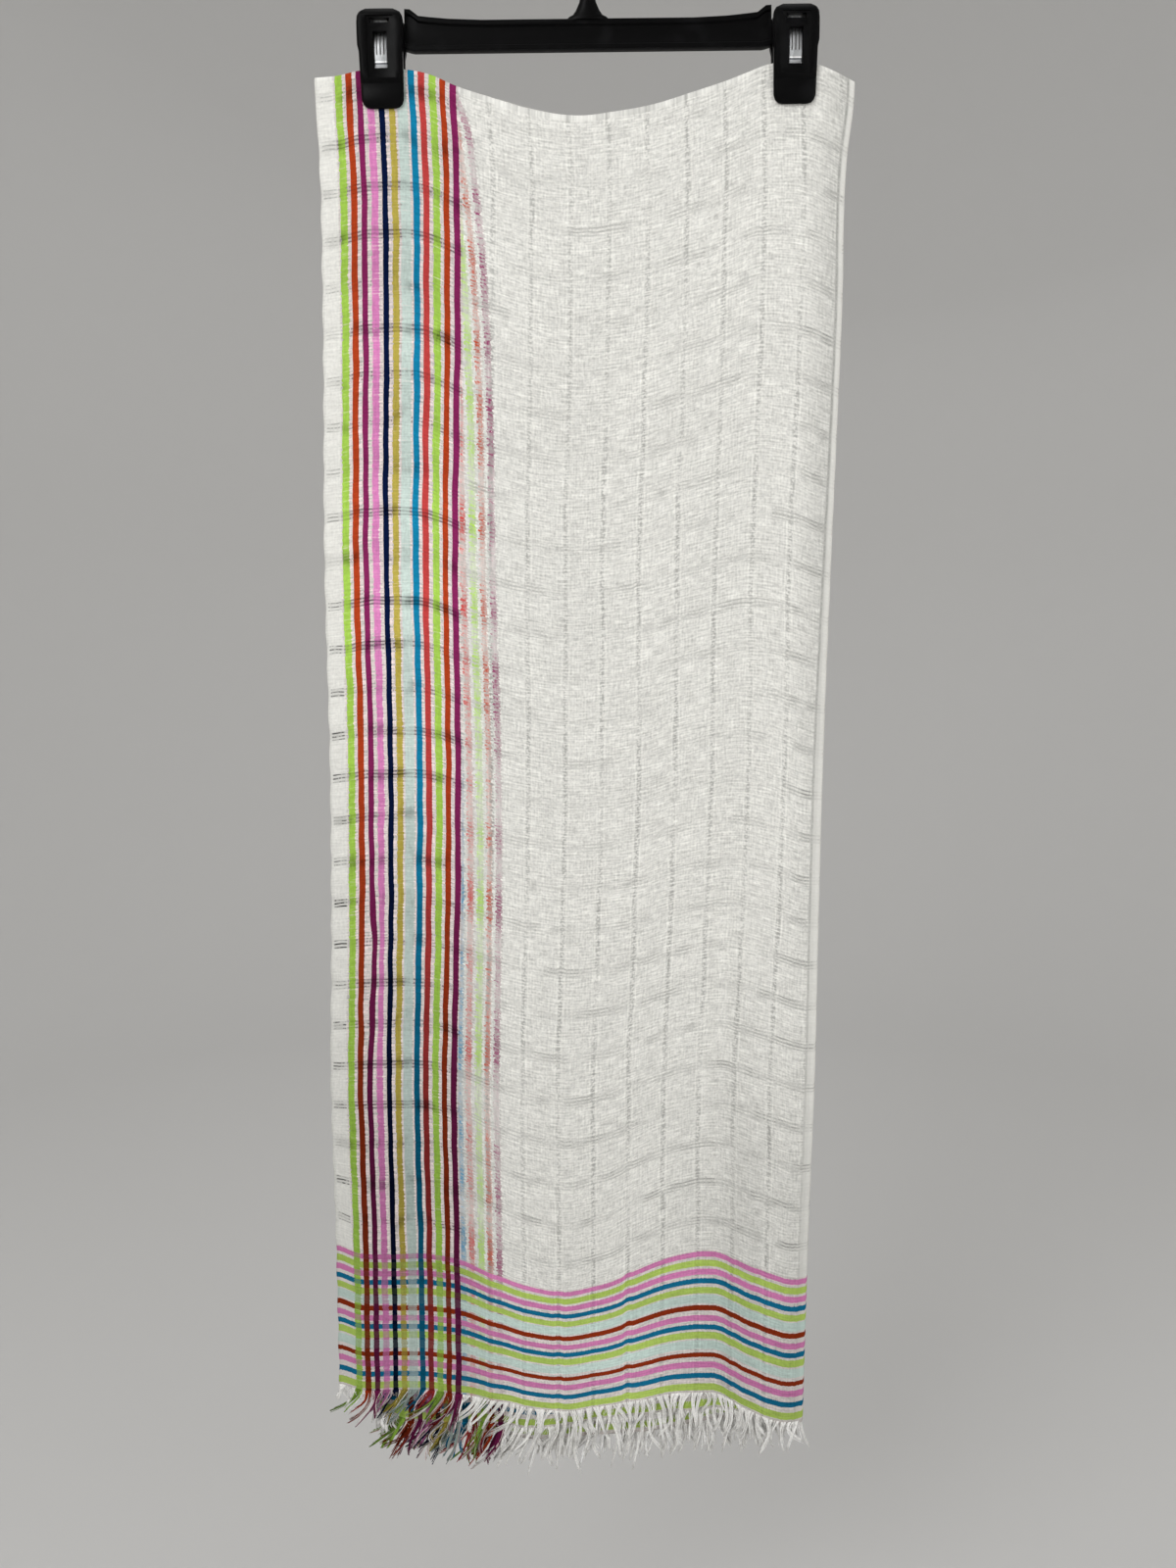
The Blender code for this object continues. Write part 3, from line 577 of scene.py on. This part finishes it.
def sheer_bands(spot, level, line_number, threads):
    """Bands of missing yarns across the cloth: painted shade in their gaps, light threads, a soft painted
    shade, and among the coloured stripes the painted shade of their gaps and a wider painted shade."""
    across, _, layer, _, from_fold = spot
    offset, number = nearest(level, BAND_FIRST, BAND_PITCH)
    away = offset.math("ABSOLUTE")
    inside = away.step(2.3, 3.6, 1.0, 0.0) * level.step(HEM_ZONE + 8.0, HEM_ZONE + 12.0)
    ripple = (offset * (2 * math.pi / BAND_RIPPLE) + threads.uneven * 2.2).math("COSINE")
    border = across.within(1.8, BORDER_WIDE - 0.8, 0.7)
    field = across.step(STRIPES_END - 1.0, STRIPES_END + 4.0)
    in_border = chance(number, layer, layer + 3.0).step(-0.4, 0.8) * border
    in_border = in_border * level.step(420.0, 760.0, 1.5, 0.55)
    more = level.step(150.0, 520.0, 0.5, 0.0) + from_fold.within(7.0, 26.0, 3.0) * 0.7
    in_field = (chance(number, line_number, layer) + more).step(0.0, 1.4, 0.12, 1.0)
    in_field = in_field * field * threads.uneven.step(-0.7, 0.4, 0.25, 1.0)
    broken = (threads.weft + threads.warp + threads.slow).step(-0.8, 0.6, 0.25, 1.0)
    # Painted shade: dark lines in the bands' open gaps, a soft shade over them, where they cross the
    # stripes, and a wider shade
    dark = inside * ripple.step(-0.2, 0.8) * (in_border + in_field * 0.72) * broken
    light = inside * ripple.step(-0.9, -0.3, 1.0, 0.0) * in_field
    haze = inside * (in_field * 0.13 + in_border * 0.10)
    crossing = inside * ripple.step(-0.6, 0.7, 0.3, 1.0) * (1.0 - field)
    dusk = away.step(1.0, 9.0, 1.0, 0.0) * (1.0 - field) * level.step(HEM_ZONE, HEM_ZONE + 30.0)
    return Bands(dark, light, haze, crossing, dusk)


def gauze_ground(spot, threads, crossing, in_stripes, in_hem):
    """White selvedge and field, with blush between the stripes and painted shade where bands cross them.
    """
    ground = spot.across.step(BORDER_WIDE - 1.0, BORDER_WIDE + 1.0).blend(SELVEDGE_WHITE, WHITE)
    blush = in_stripes.math("MAXIMUM", in_hem * 0.6) * (threads.weft * 0.35 + 0.55)
    ground = blush.blend(ground, BLUSH)
    patches = (threads.grain + threads.warp + threads.drift * 1.6).step(-0.7, 0.9)
    # Painted shade where the sheer bands cross the striped border
    return (crossing * in_stripes * patches * 0.9).blend(ground, BAND_GAP_SHADE)


def stripes_behind(ground, spot, threads):
    """The next layer's stripes, which show faintly and brokenly through the field."""
    place = spot.behind + threads.grain * 1.2 + threads.weft * 0.9
    colour, cover = stripe_ramp(place, WARP_STRIPES, BORDER_REACH)
    seen = (threads.weft * 0.6 + threads.grain * 0.5 + threads.drift * 0.7).step(-0.6, 1.0, 0.14, 0.90)
    seen = seen * spot.above.step(150.0, 700.0, 0.95, 1.1)
    seen = seen * spot.across.step(STRIPES_END - 2.0, STRIPES_END)
    return (cover * seen).blend(ground, colour)


def stripe_place(spot, threads):
    """The distance from the selvedge as the warp stripes have it: they waver, and one is pinched."""
    across, above, layer = spot.across, spot.above, spot.layer
    pinch = above.step(PINCH.low, PINCH.middle) * above.step(PINCH.middle, PINCH.high, 1.0, 0.0)
    pinch = pinch * across.within(PINCH.near, PINCH.far, 3.0) * layer.step(0.2, 0.4, 1.0, 0.0)
    return across + threads.wobble * 0.5 - pinch * PINCH.pull


def stripe_layers(ground, across, level, threads):
    """Lay the hem stripes, the hairy light stripes and the clean dark stripes on the ground.

    Gives the colour, how much of it is stripe, and how deep the warp stripes' shade goes.
    """
    hairy = threads.weft * 0.45 + threads.grain * 0.35
    weft_colour, weft_cover = stripe_ramp(level + threads.warp * 0.25, HEM_STRIPES, HEM_REACH)
    light_colour, light_cover = stripe_ramp(across + hairy, LIGHT_STRIPES, BORDER_REACH)
    dark_colour, dark_cover = stripe_ramp(across + threads.weft * 0.20, DARK_STRIPES, BORDER_REACH)
    hairs = (threads.weft + threads.slub * 0.6).step(0.45, 1.2, 0.0, 0.45)
    colour = weft_cover.blend(ground, weft_colour)
    colour = (light_cover * (1.0 - weft_cover * 0.5) * (1.0 - hairs)).blend(colour, light_colour)
    colour = (dark_cover * (1.0 - weft_cover * 0.13)).blend(colour, dark_colour)
    stripe = weft_cover.math("MAXIMUM", light_cover).math("MAXIMUM", dark_cover)
    return colour, stripe, dark_cover * SHADE.dark_stripe + light_cover * SHADE.light_stripe


def rim_width(spot):
    """How wide the rolled fold is at a height."""
    return spot.above.step(RIM_CHANGES_FROM, RIM_CHANGES_TO, RIM_WIDE_LOW, RIM_WIDE_HIGH)


def yarn_tone(spot, threads, lines, bands, stripe, in_stripes):
    """Light and shade in the yarns, quiet on the rolled fold and the close selvedge; slow painted light
    and shade along the stripes and painted shade where the bands cross them.
    """
    off_rim = spot.from_fold - rim_width(spot)
    on_rim = off_rim.step(-0.4, 0.4, 1.0, 0.0)
    quiet = (1.0 - on_rim * 0.8) * spot.across.step(BORDER_WIDE - 2.0, BORDER_WIDE + 1.0, 0.45, 1.0)
    yarns = threads.weft * 0.18 + threads.warp * 0.11 + threads.grain * 0.13 + threads.slub * 0.16
    comb = threads.weft * 0.12 * in_stripes * (1.0 - stripe)
    tone = 1.0 + (yarns * (1.0 - stripe * 0.35) + comb) * quiet + threads.slow * 0.03
    tone = tone + threads.drift * stripe * 0.12 + bands.light * 0.08 + lines.beside * 0.09
    # Painted shade where the sheer bands cross the stripes, and a wider painted shade beside them
    crossed = (threads.drift + threads.grain * 0.5).step(-0.1, 0.8, 0.0, 0.42)
    dusky = threads.patchy.step(-0.1, 0.7, 0.0, 0.45) * (stripe * 0.7 + 0.3)
    return tone - bands.crossing * stripe * crossed - bands.dusk * dusky


def open_shade(spot, threads, lines, bands):
    """How much painted shade the open places get: sheer lines, bands and the dotted line inside the rolled
    fold.
    """
    gutter = (spot.from_fold - rim_width(spot)).within(0.0, 1.6, 0.6)
    gutter = gutter * (threads.weft + threads.grain).step(-0.8, 0.6, 0.3, 1.0)
    gutter = gutter * spot.above.step(120.0, 420.0, 0.14, 0.42)
    shade = (lines.dark * SHADE.line).math("MAXIMUM", bands.dark * SHADE.band)
    return shade.math("MAXIMUM", bands.haze).math("MAXIMUM", gutter)


def cloth_tone(spot, in_stripes, deep):
    """Slow shade: the lower striped border, its neighbours, the lower right and by the rolled fold."""
    across, above, from_fold = spot.across, spot.above, spot.from_fold
    low = above.step(190.0, 620.0, 1.0, 0.0)
    striped = in_stripes * (deep + SHADE.striped)
    beside = across.step(STRIPES_END, STRIPES_END + 40.0, SHADE.beside, 0.0) * (1.0 - in_stripes)
    top = above.step(640.0, 860.0, 0.0, SHADE.top) * in_stripes
    right = across.step(220.0, 300.0) * above.step(90.0, 320.0, SHADE.right, 0.0)
    by_fold = from_fold.step(5.0, 30.0, SHADE.by_fold, 0.0) * above.step(380.0, 700.0, 0.4, 1.0)
    by_fold = by_fold * from_fold.step(3.0, 5.0, 0.2, 1.0)
    pleat = across.within(291.0, 318.0, 5.0) * above.step(200.0, 430.0, SHADE.pleat, 0.0)
    foot = above.step(90.0, 460.0, SHADE.foot, 0.0)
    return 1.0 - low * (striped + beside) - top - right - by_fold - pleat - foot


def gauze_finish(name, sheer):
    """Open gauze with striped borders and hems, sheer lines and bands, slubs and uneven shade.

    The sheer one is the outer layer, which shows the stripes of the layer behind it.
    """
    material, start = new_material(name)
    spot = cloth_spot(start)
    threads = thread_shades(spot)
    lines = sheer_lines(spot, threads)
    level = spot.above + lines.kink
    bands = sheer_bands(spot, level, lines.number, threads)
    in_stripes = spot.across.within(BORDER_WIDE, STRIPES_END, 1.0)
    in_hem = level.step(HEM_ZONE - 2.0, HEM_ZONE, 1.0, 0.0)

    ground = gauze_ground(spot, threads, bands.crossing, in_stripes, in_hem)
    if sheer:
        ground = stripes_behind(ground, spot, threads)
    colour, stripe, deep = stripe_layers(ground, stripe_place(spot, threads), level, threads)
    tone = yarn_tone(spot, threads, lines, bands, stripe, in_stripes)
    tone = tone * (1.0 - in_hem * (1.0 - stripe) * SHADE.hem_gap)
    tone = tone * (1.0 - open_shade(spot, threads, lines, bands) * (1.0 - stripe * 0.65))
    tone = tone * cloth_tone(spot, in_stripes, deep)
    yarns = relief(threads.weft * 0.5 + threads.warp * 0.4, 0.4, 0.0003)
    connect(material, {"Base Color": scaled(colour, tone), "Normal": yarns, "Roughness": 0.95,
                       "Specular IOR Level": 0.03})
    if sheer:
        holes = (lines.dark * LINE_HOLES + bands.dark * BAND_HOLES) * (1.0 - stripe)
        connect(material, {"Alpha": 1.0 - holes})
    return material


def make_cloth():
    """The front and back falls, each one sheet folded lengthwise, and the four hems' lines."""
    outer_gauze = gauze_finish("striped_gauze", True)
    inner_gauze = gauze_finish("striped_gauze_inside", False)
    sheets = []
    hems = {}
    for fall in ("front", "back"):
        points, places = fall_grid(fall)
        sheet = grid_mesh(f"scarf_{fall}_gauze", points, places)
        for material in (outer_gauze, inner_gauze):
            sheet.data.materials.append(material)
        use_inner_finish(sheet.data)
        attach(sheet, "root")
        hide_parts(f"scarf_{fall}_fall")
        cut = places["cut"]
        hems[f"{fall}_outer"] = points[-1, :LAYER_COLUMNS], cut[-1, :LAYER_COLUMNS]
        hems[f"{fall}_inner"] = points[-1, ::-1][:LAYER_COLUMNS], cut[-1, ::-1][:LAYER_COLUMNS]
        sheets.append(sheet)
    return sheets, hems


def use_inner_finish(mesh):
    """Give the faces past the middle of the fold the inner layer's finish."""
    cut = np.zeros(len(mesh.vertices) * 3, np.float32)
    mesh.attributes["cut"].data.foreach_get("vector", cut)
    layer = cut.reshape(-1, 3)[:, 2]
    first = np.zeros(len(mesh.polygons), np.int32)
    mesh.polygons.foreach_get("loop_start", first)
    corners = np.zeros(len(mesh.loops), np.int32)
    mesh.loops.foreach_get("vertex_index", corners)
    turned = layer[corners[first]] % 2.0 > 0.5
    mesh.polygons.foreach_set("material_index", turned.astype(np.int32))


# The fringe: a lock of yarns has its distance to the next, its number of yarns, its width at the root
# and the share of that width left at its tip
Lock = namedtuple("Lock", "every strands wide tip")
STRIPE_LOCK = Lock(2.9, 12, 3.4, 0.22)
FIELD_LOCK = Lock(4.4, 13, 4.3, 0.16)
STRAND_STEPS, FUZZ_STEPS = 9, 4
STRAND_RADIUS, FUZZ_RADIUS = 0.43, 0.16
STRAND_SIDES = 3
STRAY_SHARE = 0.12
FUZZ_EVERY = 0.8
ROOT_LIFT = 2.0
ROOT_AHEAD = 0.35
FringeLook = namedtuple("FringeLook", "layer length seed")
FRINGE_LOOKS = [
    FringeLook("front_outer", 28.0, 3), FringeLook("front_inner", 31.0, 5),
    FringeLook("back_inner", 31.0, 7), FringeLook("back_outer", 29.0, 11),
]
# The yarns lean left on the striped side, up to here across
LEAN_FROM, LEAN_TO, LEAN_LEFT = -60.0, -10.0, 15.0
HemLine = namedtuple("HemLine", "points cut left right facing")
Bundle = namedtuple("Bundle", "verts faces colours")
YARN_WHITE = (1.0, 0.99, 0.96)
# Share of their colour the stripe yarns keep under painted shade
YARN_PAINTED_SHADE = 0.62


def yarn_colour(from_edge, pick):
    """The colour of the warp yarn at a distance from the selvedge, stripe yarns darkened by painted shade.
    """
    if from_edge > STRIPES_END or from_edge < BORDER_WIDE:
        return YARN_WHITE
    closest = min(WARP_STRIPES, key=lambda stripe: abs(from_edge - stripe.middle))
    if abs(from_edge - closest.middle) < closest.width / 2 + 0.3 or pick.random() < 0.3:
        return tuple(part * YARN_PAINTED_SHADE for part in closest.colour)
    return YARN_WHITE if pick.random() < 0.5 else BLUSH


def lock_path(pick, length, lean):
    """A lock's own course, as how far aside it is and how far down at each step."""
    bend, hook = pick.uniform(-3.4, 3.4), pick.uniform(-6.5, 6.5)
    wave, phase = pick.uniform(0.3, 1.1), pick.uniform(0.0, 2 * math.pi)
    path = []
    for step in range(STRAND_STEPS + 1):
        t = step / STRAND_STEPS
        aside = lean * t ** 1.25 + bend * math.sin(math.pi * t) + hook * t ** 3
        aside += wave * (math.sin(4.2 * t + phase) - math.sin(phase))
        path.append((aside, length * t * (1 - 0.02 * abs(hook) * t)))
    return path


def strand_line(root, middle, lock, path, facing, pick):
    """Points of one strand: it follows its lock and closes up to it, or strays a little."""
    stray = pick.random() < STRAY_SHARE
    offset = root[0] - middle
    reach = pick.uniform(0.45, 0.95) if stray else pick.uniform(0.86, 1.06)
    drift = pick.uniform(-3.5, 3.5) if stray else pick.uniform(-0.35, 0.35)
    phase, curl = pick.uniform(0.0, 2 * math.pi), pick.uniform(0.1, 0.5)
    ahead = facing * pick.uniform(0.1, 1.3)
    line = []
    for step, (aside, down) in enumerate(path):
        t = step / STRAND_STEPS
        close = 1 - (1 - lock.tip) * t ** 0.6
        x = middle + offset * close + aside * reach + drift * t * t + curl * math.sin(5 * t + phase) * t
        y = root[1] + facing * ROOT_AHEAD + ahead * t + 0.4 * math.sin(3 * t + phase) * t
        line.append((x, y, root[2] + ROOT_LIFT - down * reach))
    return line


def fuzz_line(root, facing, pick):
    """Points of a short loose fibre at the raw edge."""
    length, lean = pick.uniform(2.0, 8.0), pick.uniform(-4.0, 3.0)
    curl = pick.uniform(-1.5, 1.5)
    line = []
    for step in range(FUZZ_STEPS + 1):
        t = step / FUZZ_STEPS
        x = root[0] + lean * t + curl * math.sin(math.pi * t)
        y = root[1] + facing * (ROOT_AHEAD + 0.6 * t)
        line.append((x, y, root[2] + ROOT_LIFT * 0.6 - length * t))
    return line


def add_tube(verts, faces, line, radius):
    """A thin three-sided tube along a line, tapering to its tip."""
    first = len(verts)
    for number, point in enumerate(line):
        wide = radius * (1.0 - 0.2 * number / (len(line) - 1))
        for side in range(STRAND_SIDES):
            angle = 2 * math.pi * side / STRAND_SIDES
            verts.append((point[0] + wide * math.cos(angle), point[1] + wide * math.sin(angle), point[2]))
    for ring in range(len(line) - 1):
        for side in range(STRAND_SIDES):
            near, far = first + ring * STRAND_SIDES, first + (ring + 1) * STRAND_SIDES
            following = (side + 1) % STRAND_SIDES
            faces.append((near + side, far + side, far + following, near + following))
    last = first + (len(line) - 1) * STRAND_SIDES
    faces.append(tuple(first + side for side in range(STRAND_SIDES)))
    faces.append(tuple(last + side for side in reversed(range(STRAND_SIDES))))


def root_at(hem, across):
    """The point of a hem's line at a place across, and how far from the selvedge it is."""
    across = min(hem.right, max(hem.left, across))
    root = [across] + [float(np.interp(across, hem.points[:, 0], hem.points[:, i])) for i in (1, 2)]
    return root, float(np.interp(across, hem.points[:, 0], hem.cut[:, 0]))


def add_yarn(bundle, line, radius, colour, shade):
    """Add one yarn to the bundle, in its colour and shade."""
    before = len(bundle.verts)
    add_tube(bundle.verts, bundle.faces, line, radius)
    shaded = [min(1.0, part * shade) for part in colour] + [1.0]
    bundle.colours.extend([shaded] * (len(bundle.verts) - before))


def add_lock(bundle, hem, middle, length, pick):
    """Add one lock of yarns, and give how far it is to the next lock's middle."""
    _, from_edge = root_at(hem, middle)
    lock = STRIPE_LOCK if from_edge < STRIPES_END + 4.0 else FIELD_LOCK
    lean = -LEAN_LEFT * (1 - float(ease(LEAN_FROM, LEAN_TO, middle))) * pick.uniform(0.55, 1.2)
    lean += pick.uniform(-4.5, 4.0)
    length = length * pick.uniform(0.55, 1.12)
    if from_edge < BORDER_WIDE:
        lean, length = lean * 0.35, length * 0.6
    path = lock_path(pick, length, lean)
    # Painted shade: each stripe lock gets its own darkness, as if deeper in the fringe
    depth = pick.uniform(0.5, 1.05) if lock is STRIPE_LOCK else pick.uniform(0.92, 1.0)
    for _ in range(lock.strands):
        root, from_edge = root_at(hem, middle + pick.uniform(-0.5, 0.5) * lock.wide)
        line = strand_line(root, middle, lock, path, hem.facing, pick)
        radius = STRAND_RADIUS * pick.uniform(0.7, 1.15)
        add_yarn(bundle, line, radius, yarn_colour(from_edge, pick), depth * pick.uniform(0.84, 1.08))
    return lock.every * pick.uniform(0.7, 1.3)


def add_fuzz(bundle, hem, pick):
    """Add the short loose fibres along a raw edge."""
    across = hem.left
    while across < hem.right:
        root, from_edge = root_at(hem, across)
        line = fuzz_line(root, hem.facing, pick)
        add_yarn(bundle, line, FUZZ_RADIUS, yarn_colour(from_edge, pick), pick.uniform(0.85, 1.0))
        across += FUZZ_EVERY * pick.uniform(0.5, 1.5)


def make_fringe(look, cut_end, material):
    """One hem's raw fringe: uneven locks of fine yarns in their stripes' colours, and loose fuzz."""
    points, cut = cut_end
    facing = -1 if look.layer.startswith("front") else 1
    hem = HemLine(points, cut, points[0, 0] + 0.5, points[-1, 0] - 0.5, facing)
    bundle = Bundle([], [], [])
    pick = random.Random(look.seed)
    middle = hem.left + 1.0
    while middle < hem.right:
        middle += add_lock(bundle, hem, middle, look.length, pick)
    add_fuzz(bundle, hem, pick)

    name = f"fringe_{look.layer}_yarns"
    mesh = bpy.data.meshes.new(name)
    mesh.from_pydata([[part * MM for part in vert] for vert in bundle.verts], [], bundle.faces)
    yarn = mesh.attributes.new("yarn", "FLOAT_COLOR", "POINT")
    yarn.data.foreach_set("color", np.array(bundle.colours, np.float32).ravel())
    mesh.materials.append(material)
    mesh.shade_smooth()
    fringe = put_in_scene(name, mesh)
    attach(fringe, "root")
    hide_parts(f"fringe_{look.layer}")
    return fringe


def yarn_finish():
    """Raw yarn in the colour of the stripe it comes from, with painted shade on the deeper locks, fuzzy
    and a little uneven.
    """
    material, start = new_material("raw_yarn")
    colour = start.add("Attribute", {"attribute_name": "yarn"}, pick=0)
    place = start.add("TexCoord", pick=3)
    fuzz = start.add("TexNoise", None, {"Vector": place, "Scale": 900.0, "Detail": 0.0})
    connect(material, {"Base Color": scaled(colour, fuzz * 0.4 + 0.8), "Roughness": 0.9,
                       "Specular IOR Level": 0.05})
    return material


def rounded_copy(node, name, width, segments=2):
    """A copy of a moulded solid with its loose triangles merged and its edges rounded."""
    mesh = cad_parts[node].data.copy()
    mesh.name = name
    mesh.materials.clear()
    piece = put_in_scene(name, mesh)
    select_only(piece)
    bpy.ops.object.mode_set(mode="EDIT")
    bpy.ops.mesh.select_all(action="SELECT")
    bpy.ops.mesh.remove_doubles(threshold=0.00001)
    bpy.ops.mesh.tris_convert_to_quads(face_threshold=math.radians(1), shape_threshold=math.radians(180))
    bpy.ops.object.mode_set(mode="OBJECT")
    bevel = piece.modifiers.new("round", "BEVEL")
    bevel.width = width * MM
    bevel.segments = segments
    bevel.limit_method = "ANGLE"
    bevel.angle_limit = math.radians(32)
    bpy.ops.object.modifier_apply(modifier=bevel.name)
    bpy.ops.object.shade_smooth_by_angle(angle=math.radians(38))
    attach(piece, "root")
    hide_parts(node)
    return piece


def plastic_finish():
    """Black satin plastic with a faint moulded grain and soft scuffs."""
    material, start = new_material("black_satin_plastic")
    place = start.add("TexCoord", pick=3)
    grain = start.add("TexNoise", None, {"Vector": place, "Scale": 700.0, "Detail": 2.0})
    scuff = start.add("TexNoise", None, {"Vector": place, "Scale": 55.0, "Detail": 4.0})
    worn = scuff.step(0.52, 0.75)
    colour = worn.blend((0.0018, 0.0018, 0.0020), (0.004, 0.004, 0.0045))
    connect(material, {"Base Color": colour, "Roughness": 0.34 + worn * 0.12 + grain * 0.05,
                       "Normal": relief(grain, 0.12, 0.0001), "Specular IOR Level": 0.07})
    return material


def steel_finish():
    """Bright spring strip with three pressed grooves in painted shade, a turned foot with a painted
    highlight over painted shade, and a painted highlight on its head.
    """
    material, start = new_material("spring_strip")
    x, y, z = start.add("TexCoord", pick=3).parts()
    offset = x.math("ABSOLUTE") * 1000.0 - CLIP_AT
    drop = z * -1000.0 + x * 1000.0 * CLIP_TILT
    groove = (offset * (2 * math.pi / GROOVE_PITCH)).math("COSINE").step(0.35, 0.9)
    groove = groove * offset.math("ABSOLUTE").step(3.4, 3.8, 1.0, 0.0)
    groove = groove * drop.step(SPRING_GROOVES_END, SPRING_GROOVES_END + 1.0, 1.0, 0.0)
    foot = drop.within(SPRING_FOOT - 4.4, SPRING_FOOT - 3.6, 0.2)
    under = drop.within(SPRING_FOOT - 3.5, SPRING_FOOT - 2.7, 0.2)
    brushed = noise(x * 9000.0, y * 400.0, z * 400.0)
    # Painted shade in the pressed grooves
    colour = groove.blend((0.40, 0.41, 0.42), (0.10, 0.095, 0.09))
    # Painted highlight along the turned foot, and painted shade just under it
    colour = foot.blend(colour, (0.9, 0.9, 0.9))
    colour = under.blend(colour, (0.05, 0.055, 0.07))
    # Painted highlight on the spring's head, where it bends over the bar
    colour = drop.step(SPRING_HEAD - 1.0, SPRING_HEAD + 1.0, 1.0, 0.0).blend(colour, (0.95, 0.95, 0.95))
    connect(material, {"Base Color": colour, "Metallic": 1.0,
                       "Roughness": 0.42 + brushed * 0.05 + groove * 0.2,
                       "Normal": relief(1.0 - groove + brushed * 0.05, 0.8, 0.0004)})
    return material


def make_hanger():
    """The bar, hook, jaws and springs."""
    plastic, steel = plastic_finish(), steel_finish()
    pieces = [(node, "plastic", plastic, 0.5) for node in ("hanger_bar", "hanger_hook")]
    for side in ("left", "right"):
        pieces += [(f"clip_{side}_{half}_jaw", "plastic", plastic, 0.35) for half in ("front", "back")]
        pieces.append((f"clip_{side}_spring", "steel", steel, 0.15))
    for node, slot, material, width in pieces:
        piece = rounded_copy(node, f"{node}_finished", width)
        piece.data.materials.append(material)


# The studio, in metres
BOWL_RADIUS, BOWL_ROUND = 3.4, 1.4
FLOOR_AT, WALL_TOP = -1.45, 3.0
BOWL_SIDES, BOWL_STEPS = 96, 12


def make_stage():
    """A pale seamless bowl: floor, rounded foot and wall all round."""
    profile = [(0.0, FLOOR_AT)]
    for step in range(BOWL_STEPS + 1):
        angle = math.pi / 2 * step / BOWL_STEPS
        profile.append((BOWL_RADIUS - BOWL_ROUND + BOWL_ROUND * math.sin(angle),
                        FLOOR_AT + BOWL_ROUND - BOWL_ROUND * math.cos(angle)))
    profile.append((BOWL_RADIUS, WALL_TOP))
    turns = [2 * math.pi * side / BOWL_SIDES for side in range(BOWL_SIDES)]
    verts = [(radius * math.cos(turn), radius * math.sin(turn), z)
             for radius, z in profile for turn in turns]
    faces = [(ring * BOWL_SIDES + side, ring * BOWL_SIDES + (side + 1) % BOWL_SIDES,
              (ring + 1) * BOWL_SIDES + (side + 1) % BOWL_SIDES, (ring + 1) * BOWL_SIDES + side)
             for ring in range(len(profile) - 1) for side in range(BOWL_SIDES)]
    mesh = bpy.data.meshes.new("studio_bowl")
    mesh.from_pydata(verts, [], faces)
    mesh.shade_smooth()
    material, _ = new_material("pale_backdrop")
    connect(material, {"Base Color": (0.64, 0.635, 0.625, 1.0), "Roughness": 0.95,
                       "Specular IOR Level": 0.1})
    mesh.materials.append(material)
    put_in_scene("studio_bowl", mesh)


Lamp = namedtuple("Lamp", "name place size power")
LAMPS = [
    Lamp("key", (-1.5, -2.3, 0.9), 1.6, 37.5), Lamp("fill", (1.8, -2.0, -0.1), 1.8, 17.5),
    Lamp("back", (0.6, 2.2, 1.7), 1.8, 10.0), Lamp("top", (0.0, -0.4, 2.2), 2.0, 19.0),
]
AIM = Vector((0.0, 0.0, -0.6))


def make_lights():
    """Large soft lamps round the object and a dim pale surround."""
    for lamp in LAMPS:
        light = bpy.data.lights.new(lamp.name, "AREA")
        light.shape = "DISK"
        light.size = lamp.size
        light.energy = lamp.power
        thing = put_in_scene(lamp.name, light)
        thing.location = lamp.place
        thing.rotation_euler = (AIM - Vector(lamp.place)).to_track_quat("-Z", "Y").to_euler()
    world = bpy.data.worlds.new("studio_air")
    world.use_nodes = True
    air = world.node_tree.nodes["Background"].inputs
    air["Color"].default_value = (1.0, 0.99, 0.97, 1.0)
    air["Strength"].default_value = 0.40
    bpy.context.scene.world = world
    bpy.context.scene.view_settings.view_transform = "Standard"


# The photo's own view: its focal length was found as 1202 of the picture's 1600 pixels of height
CAMERA_AT = (0.0, -0.838, -0.4754)
CAMERA_PITCH = math.atan(0.13)
FILM = 36.0
CAMERA_LENS = FILM * 1202 / 1600


def make_camera():
    """The photograph's own view."""
    camera = bpy.data.cameras.new("view")
    camera.lens = CAMERA_LENS
    camera.sensor_width = FILM
    camera.clip_start = 0.01
    thing = put_in_scene("view", camera)
    thing.location = CAMERA_AT
    thing.rotation_euler = (math.pi / 2 - CAMERA_PITCH, 0.0, 0.0)
    bpy.context.scene.camera = thing


def main():
    """Make the scarf, its fringe and its hanger, then the studio."""
    sheets, hems = make_cloth()
    yarn = yarn_finish()
    fringes = {look.layer: make_fringe(look, hems[look.layer], yarn) for look in FRINGE_LOOKS}
    make_hanger()
    make_stage()
    make_lights()
    make_camera()


main()
